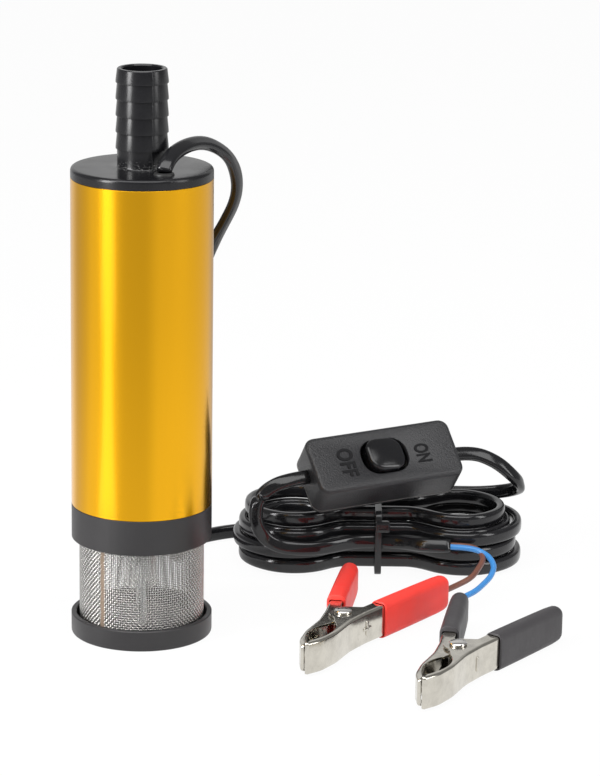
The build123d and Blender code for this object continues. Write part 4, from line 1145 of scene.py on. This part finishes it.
# %% Outline of a clip's arm
clip_height = 12.0
clip_sheet = 0.9
clip_play = 0.15
clip_lift = 1.0
spread = radians(14.5)
handle_reach = 50.0
handle_depth = 5.0
nose = (-36.5, 0.25)
clip_back = [nose, (-36.5, 1.4), (-30.5, 4.6), (-21.0, 6.2), (-8.0, 6.3), (3.0, 8.2)]
clip_bends = [1.2, 14.0, 30.0, 30.0, 30.0]
clip_ear = [(6.0, -2.0), (3.2, -4.6), (-3.2, -4.6), (-6.0, -1.2)]
clip_eye = ((-10.5, 1.0), (-21.5, 4.4), (-34.0, 0.25))
handle_way = Vector((cos(spread), sin(spread)))
handle_in = Vector((sin(spread), -cos(spread)))
knee = Vector(clip_back[-1])
clip_way = Vector((cos(radians(67.5)), sin(radians(67.5)), 0))
clip_aside = Vector((-clip_way.y, clip_way.x, 0))


def on_clip(pivot, along, aside, height):
    """A place on a clip, from its rivet, in metres."""
    return (Vector((*pivot, 0)) + clip_way * along + clip_aside * aside + Vector((0, 0, height))) * MM


def first_hit(start, way, line):
    """Distance from a point along a direction to its first crossing with a line of points."""
    best = 99.0
    for near, far in zip(line, line[1:]):
        run, gap = far - near, near - start
        turn = way.x * run.y - way.y * run.x
        if abs(turn) > 1e-9:
            distance = (gap.x * run.y - gap.y * run.x) / turn
            share = (gap.x * way.y - gap.y * way.x) / turn
            if 0 <= share <= 1 and distance > 0.3:
                best = min(best, distance)
    return best


def clip_stations(step=0.8):
    """Places along an arm's back, each with its way in and the depth of its side walls."""
    end = knee + handle_way * handle_reach
    bent = [Vector(spot) for spot in soften([*clip_back, tuple(end)], clip_bends, 8)]
    back = [bent[0]]
    for near, far in zip(bent, bent[1:]):
        pieces = max(1, round((far - near).length / step))
        back += [near.lerp(far, k / pieces) for k in range(1, pieces + 1)]
    start, middle, front = [Vector(spot) for spot in clip_eye]
    pull = middle * 2 - (start + front) / 2
    eye = [start.lerp(pull, k / 24).lerp(pull.lerp(front, k / 24), k / 24) for k in range(25)]
    edge = [end + handle_in * handle_depth + handle_way, knee + handle_way * 4 + handle_in * handle_depth]
    edge += [Vector(spot) for spot in clip_ear] + eye + [Vector(nose)]
    stations = []
    for k, spot in enumerate(back):
        run = (back[min(k + 1, len(back) - 1)] - back[max(k - 1, 0)]).normalized()
        inward = Vector((run.y, -run.x))
        depth = first_hit(spot, inward, edge)
        stations.append((spot, inward, 2.5 if depth > 20 else max(1.3, depth)))
    return stations


stations = clip_stations()
print("stations along an arm:", len(stations))

# %% Arms of a clip


def channel_section(depth, height, bend=1.0, round_off=0.14):
    """Folded sheet seen end on: two side walls and a web with round bends, as one closed loop."""
    t = clip_sheet
    wall = [(depth - round_off, height), (bend + 0.6, height)]
    wall += [(bend - bend * sin(a), height - bend + bend * cos(a)) for a in (0, 0.4, 0.8, 1.2, pi / 2)]
    wall += [(0, height / 2)]
    inner = [(depth, height - round_off), (depth, height - t + round_off), (depth - round_off, height - t),
             (t + 0.7, height - t), (t + 0.15, height - t - 0.05), (t, height - t - 0.3), (t, height / 2)]
    lower_wall = [(u, height - v) for u, v in reversed(wall[:-1])]
    lower_inner = [(u, height - v) for u, v in inner[:-1]]
    return wall + lower_wall + lower_inner + list(reversed(inner))


def clip_ring(pivot, side, centre, inward, section, lift):
    """A section's points of (way in, height), set up at one place of an arm."""
    flats = [(centre + inward * u, v) for u, v in section]
    return [on_clip(pivot, flat.x, side * flat.y, clip_lift + lift + v) for flat, v in flats]


def clip_arm(name, pivot, side):
    """One arm of a clip; side is -1 for the arm to the right of the axis."""
    inset = 0.0 if side < 0 else clip_sheet + clip_play
    rings = []
    for spot, inward, depth in stations:
        section = channel_section(depth, clip_height - 2 * inset)
        rings.append(clip_ring(pivot, side, spot, inward, section, inset))
    return lofted(name, rings, clip_nickel, sharp=38)


# %% Sleeves of a clip


def clip_sleeve(name, pivot, side, material):
    """A soft sleeve over a handle: an open front lip, a slight belly and a rounded closed end."""
    front, back, size, depth = 10.5, 53.0, handle_depth + 2.0, clip_height + 2.0
    hole = size - 1.9, clip_height + 0.1 - (0 if side < 0 else 2 * (clip_sheet + clip_play))
    levels = [(*hole, 0.8, front + 6), (*hole, 0.8, front + 0.4), (hole[0] + 0.4, hole[1] + 0.4, 1.0, front),
              (size - 0.5, depth - 0.5, 2.4, front), (size - 0.1, depth - 0.1, 2.5, front + 0.15),
              (size, depth, 2.6, front + 0.5)]
    for step in range(1, 16):
        share = step / 16
        belly = 0.12 * sin(pi * share) - 0.25 * share
        reach = front + 2 + share * (back - front - 7)
        levels.append((size + belly, depth + belly * 0.5, 2.6 + 0.5 * share, reach))
    for step in range(9):
        angle = pi / 2 * step / 8
        inset = 2.9 * (1 - cos(angle))
        reach = back - 4.0 + 4.0 * sin(angle)
        levels.append((size - 0.3 - 2 * inset, depth - 0.3 - 2.3 * inset, 3.3 - inset * 0.5, reach))
    rings = []
    for width, height, corner, reach in levels:
        centre = knee + handle_way * reach + handle_in * (handle_depth / 2)
        loop = rounded_loop(width, height, corner, 5)
        rings.append(clip_ring(pivot, side, centre, handle_in, loop, clip_height / 2))
    return lofted(name, rings, material, sharp=50)


# %% Rivet, spring and signs
# each level of a stroke: how far it is drawn in, its corner and its height
stroke_levels = ((0, 0.5, -0.3), (0, 0.5, 0.2), (0.3, 0.4, 0.42), (0.7, 0.2, 0.5))


def clip_rivet(name, pivot):
    """A rivet with a flat head below and a domed one on top."""
    low, high, barrel, head = clip_lift, clip_lift + clip_height, 2.0, 3.2
    outline = [(0.02, low - 0.9), (head - 0.2, low - 0.9), (head, low - 0.7), (head, low), (barrel, low),
               (barrel, high), (head - 0.4, high), (head - 0.4, high + 0.25), (head, high + 0.35),
               (head, high + 0.7), (head - 0.25, high + 1.0), (head - 0.9, high + 1.2),
               (head - 1.8, high + 1.32), (0.02, high + 1.35)]
    return turned(name, outline, rivet_steel, centre=pivot, sides=64)


def clip_spring(name, pivot, turns=6.5, coil=2.8, leg=9.0):
    """A torsion spring: straight leg, coil round the rivet, straight leg."""
    low, high = clip_lift + 2.9, clip_lift + clip_height - 2.9
    path = [on_clip(pivot, leg * (1 - k / 6), -coil, low) for k in range(6)]
    count = int(turns * 24)
    for k in range(count + 1):
        angle = -pi / 2 - tau * turns * k / count
        rise = low + (high - low) * k / count
        path.append(on_clip(pivot, coil * cos(angle), coil * sin(angle), rise))
    path += [on_clip(pivot, leg * k / 6, coil, high) for k in range(1, 7)]
    return flat_tube(name, path, [(path[0] / MM, up)], flat_section(MM, MM, 10, 2.0), rivet_steel)


def web_mark(name, pivot, along, strokes):
    """Raised strokes of (length, height) on the near arm's web, each upright or level."""
    spot, inward, _ = min(stations, key=lambda station: abs(station[0].x - along))
    run = Vector((-inward.y, inward.x))
    origin = on_clip(pivot, spot.x, -spot.y, clip_lift + clip_height / 2) / MM
    out = -(clip_way * inward.x - clip_aside * inward.y)
    axes = (clip_way * run.x - clip_aside * run.y, Vector(up), out)
    made = []
    for count, (length, height) in enumerate(strokes):
        levels = [(length - inset, height - inset, corner, lift) for inset, corner, lift in stroke_levels]
        made.append(stacked(f"{name}_{count}", origin, axes, levels, clip_nickel, sharp=60))
    return made


# %% Both clips
clips = {
    "red": ((73.8, -15.8), -1, red_pvc, 3.0, [(1.3, 5.6), (5.0, 1.3)]),
    "black": ((114.0, -49.0), 1, dark_pvc, -1.0, [(1.1, 5.6)]),
}
for colour, (pivot, fixed_side, pvc, mark_at, strokes) in clips.items():
    for role, side, body in (("fixed", fixed_side, "pump"), ("moving", -fixed_side, colour + "_jaw")):
        metal = [clip_arm(f"{colour}_{role}_channel", pivot, side)]
        grip = clip_sleeve(f"{colour}_{role}_grip", pivot, side, pvc)
        if side < 0:
            metal += web_mark(colour + "_mark", pivot, mark_at, strokes)
        belong(metal, body, "clip_nickel", f"{colour}_{role}_arm")
        belong([grip], body, colour + "_sleeve", f"{colour}_{role}_sleeve")
    belong([clip_rivet(colour + "_pin", pivot)], "pump", "clip_nickel", colour + "_rivet")
    belong([clip_spring(colour + "_coil", pivot)], "pump", "bright_steel", colour + "_spring")

# %% [markdown]
# Everything else belongs to the inside of the pump and the switch. Only a little of it, such
# as the strainer's post, shows through the weave. The rest could be left plain, but with its
# own finishes it also looks right when the model is taken apart. The model's own shapes are
# good enough for that.

# %% Inside pieces


def dress(material, *names):
    """Give some of the model's own pieces one material."""
    for name in names:
        for place in nodes[name].material_slots:
            place.link = "OBJECT"
            place.material = material


ring_rubber = moulded("ring_rubber", (0.02, 0.02, 0.02), 0.6)
magnet_grey = moulded("magnet_grey", (0.10, 0.10, 0.105), 0.55)
bush_brass = steel("bush_brass", (0.80, 0.58, 0.26), 0.3)
copper = steel("copper", (0.85, 0.42, 0.25), 0.3, grain=900)
dress(ring_rubber, "cap_o_ring", "collar_o_ring", "shaft_seal")
dress(inner_black, "pump_plate", "impeller", "motor_housing", "housing_lid", "motor_end_cap")
dress(post_steel, "strainer_post", "dish_screw", "motor_can", "brush_springs", "motor_shaft", "armature",
      "rocker_pin", "terminal_screws", "switch_screws")
dress(magnet_grey, "magnets", "brushes")
dress(bush_brass, "lower_bush", "upper_bush", "switch_terminals", "contact_bridge")
dress(copper, "windings", "commutator")
dress(black_sheath, "motor_lead")

# %% First points of the cords, in metres
metres([pump_points[0]])[0]
metres([battery_points[0]])[0]
metres([brown_points[0]])[0]
metres([blue_points[0]])[0]
